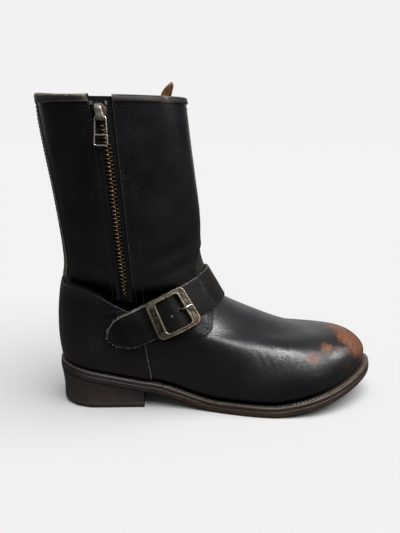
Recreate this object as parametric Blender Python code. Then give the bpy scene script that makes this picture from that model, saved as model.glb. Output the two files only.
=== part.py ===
"""Biker boot for the right foot: hollow leather upper on a welted sole, side zip, instep strap.

Frame: metres, +Z up, +X to the toe, +Y to the inner side of the foot. The origin is the middle of
the heel's tread. Sizes and tables below are in millimetres, and MM turns them into metres.
"""
import functools
import math

import bmesh
import bpy
import numpy as np
from mathutils import Matrix, Vector
from mathutils.bvhtree import BVHTree

MM = 0.001
GAP = 0.3                   # clearance between pieces that touch

# Sole, seen from the side
SOLE_BACK = -43.0           # back of the outsole
TOE_X = 258.0               # tip of the outsole
BREAST_X = 38.0             # front face of the heel
BREAST_HEIGHT = 15.8        # outsole's underside above the floor at the heel breast
HEEL_SLOPE = 0.215          # rise of the heel seat towards the back
WAIST_SLOPE = 0.05          # rise of the waist where it meets the heel seat
FLAT_BACK = 108.0           # the forefoot is flat on the floor from here
FLAT_FRONT = 156.0          # to here
TOE_SPRING = 24.0           # underside above the floor at the toe
TOE_CURL = 1.3              # how late the toe lifts
OUTSOLE_T = 5.7
WELT_T = 3.7
LIFT_T = 6.0                # rubber top piece under the heel
HEEL_TAPER = 2.6            # how far the heel draws in towards the floor
WELT_BACK = 55.0            # the welt ends here on both sides, and the heel rand takes over
SOLE_MARGIN = 6.2           # the sole's edge beyond the upper's lower edge
INSOLE_T = 6.4
WELT_INSET = 4.2            # welt and rand reach this far in under the upper
INSOLE_INSET = 4.9
SOLE_STATIONS = 56
WORN_BACK = 3.0             # the tread's back edge is worn away by this much

# Leather
WALL = 2.2                  # upper: vamp and lining together
SHAFT_T = 1.4               # outer leather of the leg
COUNTER_T = 1.4
SHAFT_IN = GAP
SHAFT_OUT = SHAFT_IN + SHAFT_T
COUNTER_IN = SHAFT_OUT + GAP
COUNTER_OUT = COUNTER_IN + COUNTER_T

# Rings of the upper from the feather edge to the collar. back_ and front_ are the ring's ends on
# the centre plane, follow is how much of the sole's wave it takes, _w are half widths at fixed
# shares of the ring's length, _y are the centre line's offsets to the inner side at half length and
# at the front, _cap are the lengths over which the ends round off.
RING_COLUMNS = ("back_x", "back_z", "front_x", "front_z", "follow", "heel_w", "mid_w", "ball_w",
                "toe_w", "mid_y", "front_y", "back_cap", "front_cap")
RINGS = (
    (-37.0, 44.0, 251.0, 34.0, 1.00, 27.5, 29.5, 46.8, 41.0, -3.2, 14.0, 30.0, 64.0),
    (-38.8, 52.0, 252.3, 41.0, 0.93, 30.0, 32.0, 49.0, 42.6, -3.2, 14.0, 32.0, 62.0),
    (-39.9, 62.5, 250.0, 48.5, 0.84, 31.5, 33.5, 49.0, 42.0, -3.2, 13.5, 33.0, 61.0),
    (-40.2, 73.0, 242.0, 57.0, 0.66, 32.2, 34.8, 46.0, 39.5, -3.0, 12.5, 34.0, 60.0),
    (-40.0, 84.0, 226.0, 64.6, 0.45, 32.5, 36.0, 41.5, 35.5, -2.5, 10.5, 35.0, 64.0),
    (-39.3, 94.5, 194.0, 67.6, 0.28, 32.5, 37.0, 37.0, 31.5, -1.5, 8.5, 37.0, 70.0),
    (-38.3, 104.0, 160.0, 77.0, 0.15, 32.5, 37.4, 35.0, 31.0, -0.5, 6.5, 41.0, 72.0),
    (-36.8, 112.5, 131.0, 89.0, 0.07, 32.8, 37.8, 35.3, 32.0, 0.0, 4.5, 46.0, 70.0),
    (-34.8, 121.0, 109.0, 101.5, 0.03, 33.6, 38.4, 37.0, 34.5, 0.0, 3.0, 52.0, 66.0),
    (-33.0, 131.5, 97.5, 121.0, 0.00, 35.5, 39.2, 39.0, 37.3, 0.0, 1.5, 57.0, 63.0),
    (-33.2, 144.0, 91.3, 139.0, 0.00, 38.0, 40.4, 40.4, 39.0, 0.0, 0.5, 60.0, 62.0),
    (-36.0, 170.0, 89.0, 170.0, 0.00, 40.5, 42.3, 42.3, 41.2, 0.0, 0.0, 62.0, 62.0),
    (-40.8, 205.0, 85.3, 205.0, 0.00, 43.0, 44.5, 44.5, 43.5, 0.0, 0.0, 62.0, 62.0),
    (-46.5, 240.0, 80.8, 240.0, 0.00, 45.5, 46.8, 46.8, 45.6, 0.0, 0.0, 63.0, 63.0),
    (-52.2, 280.8, 76.2, 279.2, 0.00, 47.5, 48.8, 48.8, 47.6, 0.0, 0.0, 64.0, 64.0),
)
WIDTH_SHARES = (0.0, 0.14, 0.42, 0.62, 1.0)     # where heel_w, heel_w, mid_w, ball_w, toe_w hold

# Grid of the upper
REAR_COLUMNS = 7            # spaces behind the zip on the outer side
FRONT_COLUMNS = 11          # before it
INNER_COLUMNS = 15          # and on the inner side
GRID_ROWS = 17
UPPER_LOW = -0.016          # rows start here, as a share of the way to the collar; the sole trims them
PANEL_LOW = 0.012           # lower edge of shaft and counter

# Zip, in the outer side of the leg: its line leans back with height
ZIP_X = 10.0                # at the collar
ZIP_LEAN = 0.077
ZIP_SWING = 4.6             # the zip's top end swings back by this much inside its slot
ZIP_SWING_RUN = 55.0
ZIP_FOOT_Z = 105.0
SLOT_REAR = 8.0             # slot's edges, from the zip's leaning line
SLOT_FRONT = 8.0
SLOT_FLARE = 4.0            # the rear edge turns back by this much at the collar
SLOT_FLARE_RUN = 40.0
TAPE_T = 0.9
TAPE_HALF = 13.5
TAPE_DROP = 0.6             # the tape's outer edges lie this much deeper
TAPE_TOP = 3.9              # distance below the collar, along the zip
TAPE_TAIL = 5.0             # tape beyond the slot's lower end
TOOTH_PITCH = 3.4
CHAIN_HALF = 2.9
CHAIN_LOW = -WALL
CHAIN_HIGH = -0.6
SLIDER_TOP = 5.5
SLIDER_FOOT = 20.0
SLIDER_SHAPE = ((SLIDER_TOP, 3.5), (7.4, 4.2), (8.8, 6.1), (11.5, 6.1), (14.5, 5.1), (SLIDER_FOOT, 3.7))  # along, half
PIVOT_ALONG = 16.5          # pull tab's hinge, along the zip from the collar
PIVOT_HIGH = 2.6            # and above the upper's surface
STOP_PLACES = (("zip_stop_rear", -5.9, 1.2), ("zip_stop_front", 6.6, 0.9))    # across, half width
STOP_LONG = 3.0
STOP_HIGH = -0.3
FOOT_STOP_HALF = 3.2
CHAIN_TOP = SLIDER_TOP + 8.0
CHAIN_SPARE = 4.0           # room for the foot stop between chain and slot end
BAIL_HALF = 1.8
BAIL_PROFILE = ((6.6, 0.9), (7.4, 4.0), (9.0, 4.9), (17.2, 4.9), (19.0, 4.0), (19.8, 0.9),
                (18.5, 0.9), (17.9, 3.5), (16.8, 3.9), (9.4, 3.9), (8.6, 3.4), (8.0, 0.9))  # along, up
TAB_BAR = 0.7               # half thickness of the pull tab
TAB_OUTLINE = ((-5.2, -TAB_BAR), (5.2, -TAB_BAR), (5.8, 15.6), (6.3, 24.0), (-6.3, 24.0), (-5.8, 15.6))
TAB_WINDOWS = (((-3.9, TAB_BAR), (3.9, TAB_BAR), (4.4, 14.2), (-4.4, 14.2)),
               ((-4.4, 15.6), (4.4, 15.6), (4.9, 22.6), (-4.9, 22.6)))

# Panels, as side-view outlines: X, Z and radius of each corner
SHAFT_OUTLINE = (
    (-120.0, 400.0, 0.0), (140.0, 400.0, 0.0), (140.0, 151.5, 0.0), (91.0, 151.5, 3.0),
    (86.5, 136.0, 8.0), (86.5, 123.0, 10.0), (103.0, 94.0, 10.0), (101.0, 72.5, 13.0),
    (83.0, 69.5, 20.0), (42.0, 63.5, 4.0), (38.0, -20.0, 0.0), (-120.0, -20.0, 0.0),
)
COUNTER_OUTLINE = (
    (-120.0, -20.0, 0.0), (51.0, -20.0, 0.0), (45.3, 32.0, 20.0), (36.5, 91.0, 9.0),
    (2.0, 108.0, 50.0), (-32.5, 114.8, 3.0), (-35.5, 121.0, 3.0), (-120.0, 121.0, 0.0),
)

# Trim
STRIP_HALF = 13.0           # back strip
STRIP_T = 1.9
BINDING_T = 1.0
BINDING_OUT_LEG = 5.4
BINDING_IN_LEG = 3.2
LOOP_X = 71.5               # pull loop, inside the inner wall
LOOP_HALF = 7.0
LOOP_T = 1.4
LOOP_PATH = ((0.0, -24.0), (0.0, -8.0), (0.2, 3.0), (1.8, 10.0), (1.4, 15.4), (-0.6, 16.4),
             (-2.4, 12.0), (-4.0, 5.0), (-3.4, -8.0), (-2.6, -24.0))     # out of the wall, up

# Instep strap and buckle. Strap space: s along the strap from the buckle's middle towards the tail,
# w across it, h above what it lies on.
STRAP_TILT = math.radians(25.0)
BUCKLE_X = 64.3
BUCKLE_Z = 95.0
STRAP_REACH = 24.0          # the strap's ray centre lies this far behind the buckle
STRAP_HALF = 16.4
STRAP_T = 2.2
STRAP_CLEAR = 0.5
TAIL_START = 37.0           # the tail rounds off from here
TAIL_END = 63.5
STRAP_FAR_END = -155.0      # sewn end on the inner side
CHAPE_T = 1.6
CHAPE_HALF = 17.0
CHAPE_END = 44.0
BAR_R = 0.9
BUCKLE_HALF_S = 18.6
BUCKLE_HALF_W = 18.5
WINDOW_TAIL_S = 10.0        # window's edge at the wide bar
WINDOW_FRONT_S = -10.9
WINDOW_HALF_W = 14.8
FRAME_T = 2.4
STRAP_LIFT = ((-230.0, 0.0), (-24.0, 0.0), (-15.0, 0.3), (-9.0, 1.9), (-2.0, 4.2), (2.0, 4.2),
              (8.0, 3.1), (14.0, 2.2), (45.0, 2.1), (56.0, 0.3), (90.0, 0.0))
FRAME_LIFT = 6.8            # underside of the frame at its middle
FRAME_DROP = 1.2            # its ends bend down by this much
PRONG_R = 1.0
PRONG_PATH = ((-2.3, 2.9), (-5.5, 4.0), (-8.4, 6.9), (-9.5, 9.3), (-11.5, 10.2), (-16.8, 9.9))

SURFACES = {
    "leather": ((0.012, 0.012, 0.013), 0.42, 0.0),
    "counter_leather": ((0.015, 0.014, 0.013), 0.42, 0.0),
    "binding_leather": ((0.070, 0.052, 0.042), 0.6, 0.0),
    "strap_leather": ((0.011, 0.011, 0.012), 0.45, 0.0),
    "loop_leather": ((0.130, 0.060, 0.028), 0.6, 0.0),
    "sole_leather": ((0.055, 0.030, 0.020), 0.55, 0.0),
    "heel_leather": ((0.012, 0.010, 0.009), 0.5, 0.0),
    "top_piece_rubber": ((0.012, 0.012, 0.012), 0.8, 0.0),
    "insole_leather": ((0.160, 0.110, 0.070), 0.7, 0.0),
    "zip_tape": ((0.006, 0.006, 0.006), 0.85, 0.0),
    "antique_brass": ((0.200, 0.110, 0.050), 0.4, 1.0),
    "old_nickel": ((0.330, 0.310, 0.280), 0.35, 1.0),
}


def clear_scene():
    for obj in list(bpy.data.objects):
        bpy.data.objects.remove(obj, do_unlink=True)


def new_collection(name):
    collection = bpy.data.collections.new(name)
    bpy.context.scene.collection.children.link(collection)
    return collection


def surface_material(name):
    material = bpy.data.materials.get(name)
    if material is None:
        colour, roughness, metallic = SURFACES[name]
        material = bpy.data.materials.new(name)
        material.use_nodes = True
        shader = material.node_tree.nodes["Principled BSDF"]
        shader.inputs["Base Color"].default_value = (*colour, 1.0)
        shader.inputs["Roughness"].default_value = roughness
        shader.inputs["Metallic"].default_value = metallic
    return material


clear_scene()
boot = new_collection("biker_boot")
cutters = new_collection("cutters")


def add_object(name, mesh, surface=None):
    """A part with its material, or a hidden cutter when no surface is given."""
    obj = bpy.data.objects.new(name, mesh)
    if surface is None:
        cutters.objects.link(obj)
        obj.hide_render = True
        obj.display_type = "WIRE"
        return obj
    boot.objects.link(obj)
    mesh.materials.append(surface_material(surface))
    mesh.shade_smooth()
    mesh.set_sharp_from_angle(angle=math.radians(40.0))
    return obj


def combine(obj, other, operation):
    modifier = obj.modifiers.new(operation.lower(), "BOOLEAN")
    modifier.operation = operation
    modifier.object = other


# Curves and lofts

@functools.lru_cache(maxsize=None)
def bend_matrix(knots):
    """Matrix that turns values at the knots into a natural spline's second derivatives there."""
    step = np.diff(knots)
    system = np.eye(len(knots))
    right = np.zeros((len(knots), len(knots)))
    for i in range(1, len(knots) - 1):
        system[i, i - 1:i + 2] = step[i - 1], 2.0 * (step[i - 1] + step[i]), step[i]
        right[i, i - 1:i + 2] = 1.0 / step[i - 1], -1.0 / step[i - 1] - 1.0 / step[i], 1.0 / step[i]
    return 6.0 * np.linalg.solve(system, right)


def cubic(knots, values, at):
    """Natural cubic spline through values at the knots, read at the places given."""
    values = np.asarray(values, float)
    at = np.atleast_1d(np.asarray(at, float))
    flat = values.reshape(len(knots), -1)
    bend = bend_matrix(knots) @ flat
    knots = np.asarray(knots, float)
    step = np.diff(knots)
    i = np.clip(np.searchsorted(knots, at) - 1, 0, len(step) - 1)
    b = ((at - knots[i]) / step[i])[:, None]
    a = 1.0 - b
    square = (step[i] ** 2)[:, None] / 6.0
    read = a * flat[i] + b * flat[i + 1] + ((a**3 - a) * bend[i] + (b**3 - b) * bend[i + 1]) * square
    return read.reshape(len(at), *values.shape[1:])


def rounded_outline(corners, arc_steps=4):
    """Closed outline through (x, z, radius) corners, each rounded by an arc."""
    points = []
    for k, (x, z, radius) in enumerate(corners):
        here = Vector((x, z))
        back = Vector(corners[k - 1][:2]) - here
        ahead = Vector(corners[(k + 1) % len(corners)][:2]) - here
        if radius <= 0.0:
            points.append(here)
            continue
        half = back.angle(ahead) / 2.0
        reach = min(radius / math.tan(half), 0.49 * back.length, 0.49 * ahead.length)
        start = here + back.normalized() * reach
        end = here + ahead.normalized() * reach
        for i in range(arc_steps + 1):
            share = i / arc_steps
            points.append(start.lerp(here, share).lerp(here.lerp(end, share), share))
    return points


def loft(name, sections, surface=None, closed=False):
    """Solid through sections with equal point counts: capped at its ends, or closed into a ring."""
    bm = bmesh.new()
    rings = [[bm.verts.new(Vector(p) * MM) for p in section] for section in sections]
    count = len(rings[0])
    for i in range(len(rings) if closed else len(rings) - 1):
        this, after = rings[i], rings[(i + 1) % len(rings)]
        for k in range(count):
            bm.faces.new((this[k], this[(k + 1) % count], after[(k + 1) % count], after[k]))
    if not closed:
        bm.faces.new(reversed(rings[0]))
        bm.faces.new(rings[-1])
    bmesh.ops.recalc_face_normals(bm, faces=bm.faces)
    mesh = bpy.data.meshes.new(name)
    bm.to_mesh(mesh)
    bm.free()
    return add_object(name, mesh, surface)


def tube_sections(path, radius, sides=8):
    """Round sections along a path of 3D points."""
    path = [Vector(p) for p in path]
    sections = []
    side = None
    for k, point in enumerate(path):
        along = (path[min(k + 1, len(path) - 1)] - path[max(k - 1, 0)]).normalized()
        if side is None:
            side = along.orthogonal().normalized()
        side = (side - along * side.dot(along)).normalized()
        up = along.cross(side)
        angles = [2.0 * math.pi * i / sides for i in range(sides)]
        sections.append([point + (side * math.cos(a) + up * math.sin(a)) * radius for a in angles])
    return sections


# Sole profile and the upper's surface

def sole_under(x):
    """Height of the outsole's underside above the floor: heel seat, waist, flat and toe spring."""
    x = np.asarray(x, float)
    spring = TOE_SPRING * np.clip((x - FLAT_FRONT) / (TOE_X - FLAT_FRONT), 0.0, None) ** TOE_CURL
    run = FLAT_BACK - BREAST_X
    s = np.clip((FLAT_BACK - x) / run, 0.0, 1.0)
    waist = (3.0 * s**2 - 2.0 * s**3) * BREAST_HEIGHT + (s**3 - s**2) * WAIST_SLOPE * run
    heel = HEEL_SLOPE * np.clip(BREAST_X - x, 0.0, None)
    return spring + waist + heel


def sole_top(x):
    """Height at which the upper's lower edge sits, on the welt and rand."""
    return sole_under(x) + OUTSOLE_T + GAP + WELT_T + GAP


def ring_table():
    """Columns of the ring table as arrays, with the feather edge set on the sole."""
    table = {key: np.array(column)[:, None] for key, column in zip(RING_COLUMNS, zip(*RINGS))}
    for end in ("back", "front"):
        table[end + "_z"][0] = sole_top(table[end + "_x"][0])
    return table


def round_end(share):
    return np.sqrt(1.0 - (1.0 - np.clip(share, 0.0, 1.0)) ** 2)


def ring_at(row, turn):
    """Points of a ring, or of all rings: turn 0 at the back, pi at the front, outer side between."""
    turn = np.atleast_1d(np.asarray(turn, float))
    t = 0.5 * (1.0 - np.cos(turn))
    x = row["back_x"] + t * (row["front_x"] - row["back_x"])
    widths = np.array([row[key] for key in ("heel_w", "heel_w", "mid_w", "ball_w", "toe_w")])
    half = cubic(WIDTH_SHARES, widths.reshape(len(WIDTH_SHARES), -1), t).T
    half = half * round_end((x - row["back_x"]) / row["back_cap"])
    half = half * round_end((row["front_x"] - x) / row["front_cap"])
    bow = 8.0 * row["mid_y"] - row["front_y"]
    y = bow * t**2 + (row["front_y"] - bow) * t**3 - np.sign(np.sin(turn)) * half
    wave = sole_top(x) - (1.0 - t) * sole_top(row["back_x"]) - t * sole_top(row["front_x"])
    z = (1.0 - t) * row["back_z"] + t * row["front_z"] + row["follow"] * wave
    return np.stack(np.broadcast_arrays(x, y, z), axis=-1)


RING_TABLE = ring_table()
FEATHER = {key: float(column[0, 0]) for key, column in RING_TABLE.items()}


def ring_knots():
    """Places of the rings along the surface, by their mean spacing."""
    rings = ring_at(RING_TABLE, np.linspace(0.0, 2.0 * math.pi, 25)[:-1])
    spacing = np.linalg.norm(np.diff(rings, axis=0), axis=2).mean(axis=1)
    return np.concatenate([[0.0], np.cumsum(spacing)]) / spacing.sum()


KNOTS = tuple(ring_knots())


def surface_at(turns, v):
    """Upper's outer surface at a row of turns, v from 0 at the feather edge to 1 at the collar."""
    return cubic(KNOTS, ring_at(RING_TABLE, turns), [v])[0]


def frame_at(turns, v, step=2e-3):
    """Surface points with unit normals, and the directions along the ring and up the upper."""
    turns = np.atleast_1d(np.asarray(turns, float))
    here = surface_at(turns, v)
    along = surface_at(turns + step, v) - surface_at(turns - step, v)
    up = surface_at(turns, v + step) - surface_at(turns, v - step)
    normal = np.cross(along, up)
    stretch = np.linalg.norm(along, axis=1) / (2.0 * step)
    unit = [d / np.linalg.norm(d, axis=1)[:, None] for d in (normal, along, up)]
    return here, unit[0], unit[1], unit[2], stretch


def offset_at(turns, v, offset):
    here, normal = frame_at(turns, v)[:2]
    return here + offset * normal


def find_v(turn, z):
    """Place along the surface where the line of this turn reaches a height."""
    places = np.linspace(0.0, 1.0, 201)
    heights = [surface_at(turn, v)[0, 2] for v in places]
    return float(np.interp(z, heights, places))


COLLAR_Z = RINGS[-1][1]


def zip_swing(z):
    return ZIP_SWING * np.clip(1.0 - (COLLAR_Z - z) / ZIP_SWING_RUN, 0.0, 1.0) ** 1.5


@functools.lru_cache(maxsize=None)
def zip_turn(v):
    """Turn of the zip's line at v, on the outer side."""
    turns = np.linspace(0.4, 2.6, 80)
    points = surface_at(turns, v)
    line = ZIP_X + ZIP_LEAN * (COLLAR_Z - points[:, 2]) - zip_swing(points[:, 2])
    return float(np.interp(0.0, points[:, 0] - line, turns))


def zip_foot_v():
    places = np.linspace(0.3, 1.0, 141)
    heights = [surface_at(zip_turn(v), v)[0, 2] for v in places]
    return float(np.interp(ZIP_FOOT_Z, heights, places))


ZIP_FOOT_V = zip_foot_v()


def column_turns(v):
    """Turns of the grid's columns at v, with two of them on the zip slot's edges."""
    middle = zip_turn(v)
    here, _, _, _, stretch = frame_at(middle, v)
    flare = SLOT_FLARE * max(0.0, 1.0 - (COLLAR_Z - here[0, 2]) / SLOT_FLARE_RUN)
    swing = float(zip_swing(here[0, 2]))
    rear = np.linspace(0.0, middle - (SLOT_REAR + flare - swing) / stretch[0], REAR_COLUMNS + 1)
    front = np.linspace(middle + (SLOT_FRONT + swing) / stretch[0], math.pi, FRONT_COLUMNS + 1)
    inner = np.linspace(math.pi, 2.0 * math.pi, INNER_COLUMNS + 1)[1:-1]
    return np.concatenate([rear, front, inner])


def row_places():
    """Rows of the grid, with one of them at the zip slot's lower end."""
    places = np.linspace(0.0, 1.0, GRID_ROWS + 1)
    places[np.argmin(np.abs(places - ZIP_FOOT_V))] = ZIP_FOOT_V
    return places


ROWS = row_places()


def shell(name, offset, thickness, surface, low_edge):
    """Layer of leather on the upper's surface, open at collar, feather edge and zip slot."""
    rows = np.concatenate([[low_edge], ROWS[1:]])
    turns = [column_turns(v) for v in rows]
    bm = bmesh.new()
    layers = []
    for depth in (offset, offset - thickness):
        grid = [offset_at(row, v, depth) for row, v in zip(turns, rows)]
        layers.append([[bm.verts.new(Vector(p) * MM) for p in row] for row in grid])
    outside, inside = layers
    count = len(turns[0])
    for i, v in enumerate(rows[:-1]):
        for k in range(count):
            if k == REAR_COLUMNS and v >= ZIP_FOOT_V:
                continue
            n = (k + 1) % count
            for grid, order in ((outside, 1), (inside, -1)):
                a, b, c, d = grid[i][k], grid[i][n], grid[i + 1][n], grid[i + 1][k]
                bm.faces.new((a, b, c)[::order])
                bm.faces.new((a, c, d)[::order])
    close_rim(bm, outside, inside)
    mesh = bpy.data.meshes.new(name)
    bm.to_mesh(mesh)
    bm.free()
    return add_object(name, mesh, surface)


def close_rim(bm, outside, inside):
    """Faces across the wall's thickness, along the open edges of two equal grids."""
    mates = {out: into for rows in zip(outside, inside) for out, into in zip(*rows)}
    for edge in [edge for edge in bm.edges if edge.is_boundary and edge.verts[0] in mates]:
        loop = edge.link_loops[0]
        start, end = loop.vert, loop.link_loop_next.vert
        bm.faces.new((end, start, mates[start], mates[end]))


def side_cutter(name, corners, reach=160.0):
    """Prism across the boot with the given side-view outline."""
    outline = rounded_outline(corners)
    return loft(name, [[(p.x, y, p.y) for p in outline] for y in (-reach, reach)])


# Sole pieces

def grown(margin):
    """Feather edge's ring let out by a margin, or drawn in by a negative one."""
    row = dict(FEATHER)
    row["back_x"] -= margin
    row["front_x"] += margin
    for key in ("heel_w", "mid_w", "ball_w", "toe_w", "back_cap", "front_cap"):
        row[key] += margin
    return row


def sole_edge(trim=0.0):
    """Outline of the sole, drawn in by a trim."""
    row = grown(SOLE_MARGIN - trim)
    row["back_x"] = SOLE_BACK + trim
    row["front_x"] = TOE_X - trim
    return row


def edge_at(row, turn, height=0.0):
    """Point of a sole outline, at a height above the outsole's underside."""
    point = ring_at(row, turn)[0, 0]
    point[2] = float(sole_under(point[0])) + height
    return point


def plate(name, row, low, high, chamfer, surface=None, stations=SOLE_STATIONS, tip=0.06):
    """Full-length plate that follows the sole's profile between two heights."""
    across = np.array([0.0, chamfer, 0.0])
    rise = np.array([0.0, 0.0, chamfer])
    top = np.array([0.0, 0.0, high - low])
    sections = []
    for turn in np.linspace(tip, math.pi - tip, stations):
        outer = edge_at(row, turn, low)
        inner = edge_at(row, 2.0 * math.pi - turn, low)
        sections.append([outer + across, outer + rise, outer + top,
                         inner + top, inner + rise, inner - across])
    return loft(name, sections, surface)


def edge_strip(name, turns, low, high, trim, surface):
    """Strip round the sole's edge: welt or rand."""
    inside = grown(-WELT_INSET)
    edge = sole_edge(trim)
    sections = []
    for turn in turns:
        outer, inner = edge_at(edge, turn, low), edge_at(inside, turn, low)
        top = np.array([0.0, 0.0, high - low])
        sections.append([inner, outer, outer + top, inner + top])
    return loft(name, sections, surface)


def turn_at_x(row, x):
    share = (x - row["back_x"]) / (row["front_x"] - row["back_x"])
    return math.acos(1.0 - 2.0 * share)


def make_sole():
    low = OUTSOLE_T + GAP
    high = low + WELT_T
    plate("outsole", sole_edge(), 0.0, OUTSOLE_T, 0.8, "sole_leather")
    split = turn_at_x(sole_edge(), WELT_BACK)
    seam = 0.003
    round_toe = np.linspace(split + seam, 2.0 * math.pi - split - seam, 58)
    edge_strip("welt", round_toe, low, high, 0.5, "sole_leather")
    round_heel = np.linspace(-split + seam, split - seam, 31)
    edge_strip("heel_rand", round_heel, low, high, 0.3, "heel_leather")
    plate("insole", grown(-INSOLE_INSET), low, low + INSOLE_T, 0.6, "insole_leather", 32)
    return plate("sole_space", grown(30.0), -30.0, high + GAP, 0.1)


def heel_outline(inset):
    row = sole_edge(inset)
    end = turn_at_x(row, BREAST_X)
    return ring_at(row, np.linspace(-end, end, 21))[0]


def make_heel():
    edge = heel_outline(HEEL_TAPER)
    worn = [(x, y, 0.0) for x, y, _ in heel_outline(HEEL_TAPER + 1.0)]
    back = np.array([WORN_BACK * max(0.0, 1.0 - (x - SOLE_BACK) / 30.0) for x, _, _ in worn])
    tread = [(x + shift, y, 0.0) for (x, y, _), shift in zip(worn, back)]
    rim = [(x, y, 1.0 + shift) for (x, y, _), shift in zip(edge, back)]
    loft("heel_top_piece", [tread, rim, [(x, y, LIFT_T) for x, y, _ in edge]], "top_piece_rubber")
    low = [(x, y, LIFT_T + GAP) for x, y, _ in edge]
    high = [(x, y, float(sole_under(x)) - GAP) for x, y, _ in heel_outline(0.3)]
    loft("heel_block", [low, high], "heel_leather")


# Upper and the panels on it

def make_upper(sole_space):
    upper = shell("upper", 0.0, WALL, "leather", UPPER_LOW)
    combine(upper, sole_space, "DIFFERENCE")
    shaft = shell("shaft", SHAFT_OUT, SHAFT_T, "leather", PANEL_LOW)
    combine(shaft, side_cutter("shaft_outline", SHAFT_OUTLINE), "INTERSECT")
    counter = shell("counter", COUNTER_OUT, COUNTER_T, "counter_leather", PANEL_LOW)
    combine(counter, side_cutter("counter_outline", COUNTER_OUTLINE), "INTERSECT")
    return upper, shaft, counter


def make_back_strip():
    """Wide strip over the shaft's back seam, from the counter to the binding."""
    low = find_v(0.0, COUNTER_OUTLINE[-2][1] + GAP + 0.8)
    high = find_v(0.0, COLLAR_Z - BINDING_OUT_LEG - GAP)
    shape = ((-1.0, 0.0), (-0.97, 0.75), (-0.6, 1.0), (-0.2, 1.0), (0.2, 1.0), (0.6, 1.0), (0.97, 0.75),
             (1.0, 0.0), (0.5, 0.0), (0.0, 0.0), (-0.5, 0.0))       # share of the half width, of the thickness
    base = SHAFT_OUT + GAP + 0.35
    sections = []
    for v in np.linspace(low, high, 13):
        stretch = frame_at(0.0, v)[4][0]
        sections.append([offset_at(w * STRIP_HALF / stretch, v, base + h * STRIP_T)[0] for w, h in shape])
    loft("back_strip", sections, "leather")


def make_binding():
    """Narrow leather folded over the collar's edge, from one side of the zip to the other."""
    inner = -WALL - GAP
    outer = SHAFT_OUT + GAP
    section = ((outer, -BINDING_OUT_LEG), (outer + BINDING_T, -BINDING_OUT_LEG),
               (outer + BINDING_T, 0.6), (outer - 0.4, GAP + BINDING_T), (inner + 0.4, GAP + BINDING_T),
               (inner - BINDING_T, 0.6), (inner - BINDING_T, -BINDING_IN_LEG), (inner, -BINDING_IN_LEG),
               (inner, GAP), (outer, GAP))
    turns = column_turns(1.0)
    turns = np.concatenate([turns[REAR_COLUMNS + 1:], turns[:REAR_COLUMNS + 1] + 2.0 * math.pi])
    here, normal, _, up, _ = frame_at(turns, 1.0)
    sections = [[p + o * n + l * u for o, l in section] for p, n, u in zip(here, normal, up)]
    loft("collar_binding", sections, "binding_leather")


def make_pull_loop():
    """Leather loop that stands above the collar, its two ends sewn inside the inner wall."""
    turns = np.linspace(1.2 * math.pi, 1.8 * math.pi, 60)
    turn = float(np.interp(-LOOP_X, -surface_at(turns, 1.0)[:, 0], turns))
    stretch = frame_at(turn, 1.0)[4][0]
    places = turn + np.linspace(-LOOP_HALF, LOOP_HALF, 5) / stretch
    here, normal, _, up, _ = frame_at(places, 1.0)
    inner = -WALL - BINDING_T - 3.5 * GAP - LOOP_T / 2.0
    sections = []
    for k, (out, lift) in enumerate(LOOP_PATH):
        before, after = LOOP_PATH[max(k - 1, 0)], LOOP_PATH[min(k + 1, len(LOOP_PATH) - 1)]
        run = Vector((after[0] - before[0], after[1] - before[1])).normalized()
        faces = []
        for side in (-LOOP_T / 2.0, LOOP_T / 2.0):
            depth, height = inner + out - side * run.y, lift + side * run.x
            faces.append(list(here + depth * normal + height * up))
        sections.append(faces[0] + faces[1][::-1])
    loft("pull_loop", sections, "loop_leather")


# Strap and buckle

class StrapPath:
    """The line that the instep strap takes over the panels, and strap space along it."""

    def __init__(self, carriers):
        self.forward = np.array([math.cos(STRAP_TILT), 0.0, math.sin(STRAP_TILT)])
        self.across = np.array([-math.sin(STRAP_TILT), 0.0, math.cos(STRAP_TILT)])
        self.outward = np.array([0.0, -1.0, 0.0])
        middle = np.array([BUCKLE_X, 0.0, BUCKLE_Z])
        self.centre = middle - STRAP_REACH * self.forward
        self.angles = np.radians(np.arange(-150.0, 161.0, 1.25))
        reach, lean = self.fit(carriers)
        self.reach, self.lean = reach, lean
        rim = self.rim(self.angles, 0.0)
        run = np.concatenate([[0.0], np.cumsum(np.linalg.norm(np.diff(rim, axis=0), axis=1))])
        ahead = (rim - middle) @ self.forward
        side = self.angles > 0.0
        start = np.interp(0.0, -ahead[side], run[side])
        self.run = run - start

    def direction(self, angles):
        return np.cos(angles)[:, None] * self.forward + np.sin(angles)[:, None] * self.outward

    def fit(self, carriers):
        """Distance of the strap from its centre, and its lean across the width, by angle."""
        trees = [tree_of(obj) for obj in carriers]
        widths = np.linspace(-STRAP_HALF, STRAP_HALF, 13)
        hits = np.array([[self.outermost(trees, a, w) for w in widths] for a in self.angles])
        lean = (hits * widths).sum(axis=1) / (widths**2).sum()
        lean = smoothed(lean, 9)
        need = (hits - lean[:, None] * widths).max(axis=1)
        reach = np.maximum(smoothed(need, 9), need)
        reach = np.maximum(smoothed(reach, 5), need) + STRAP_CLEAR
        return reach, lean

    def outermost(self, trees, angle, w, far=260.0):
        direction = self.direction(np.array([angle]))[0]
        origin = self.centre + w * self.across + far * direction
        found = 0.0
        for tree in trees:
            hit = tree.ray_cast(Vector(origin) * MM, Vector(-direction), far * MM)
            if hit[0] is not None:
                found = max(found, far - hit[3] / MM)
        return found

    def rim(self, angles, w):
        reach = np.interp(angles, self.angles, self.reach) + w * np.interp(angles, self.angles, self.lean)
        return self.centre + w * self.across + reach[:, None] * self.direction(angles)

    def at(self, s, w, h):
        """World point of a place in strap space."""
        angle = np.interp([s - 0.5, s, s + 0.5], self.run, self.angles)
        before, here, after = self.rim(angle, w)
        normal = np.cross(self.across, after - before)
        return here + h * normal / np.linalg.norm(normal)


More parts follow.
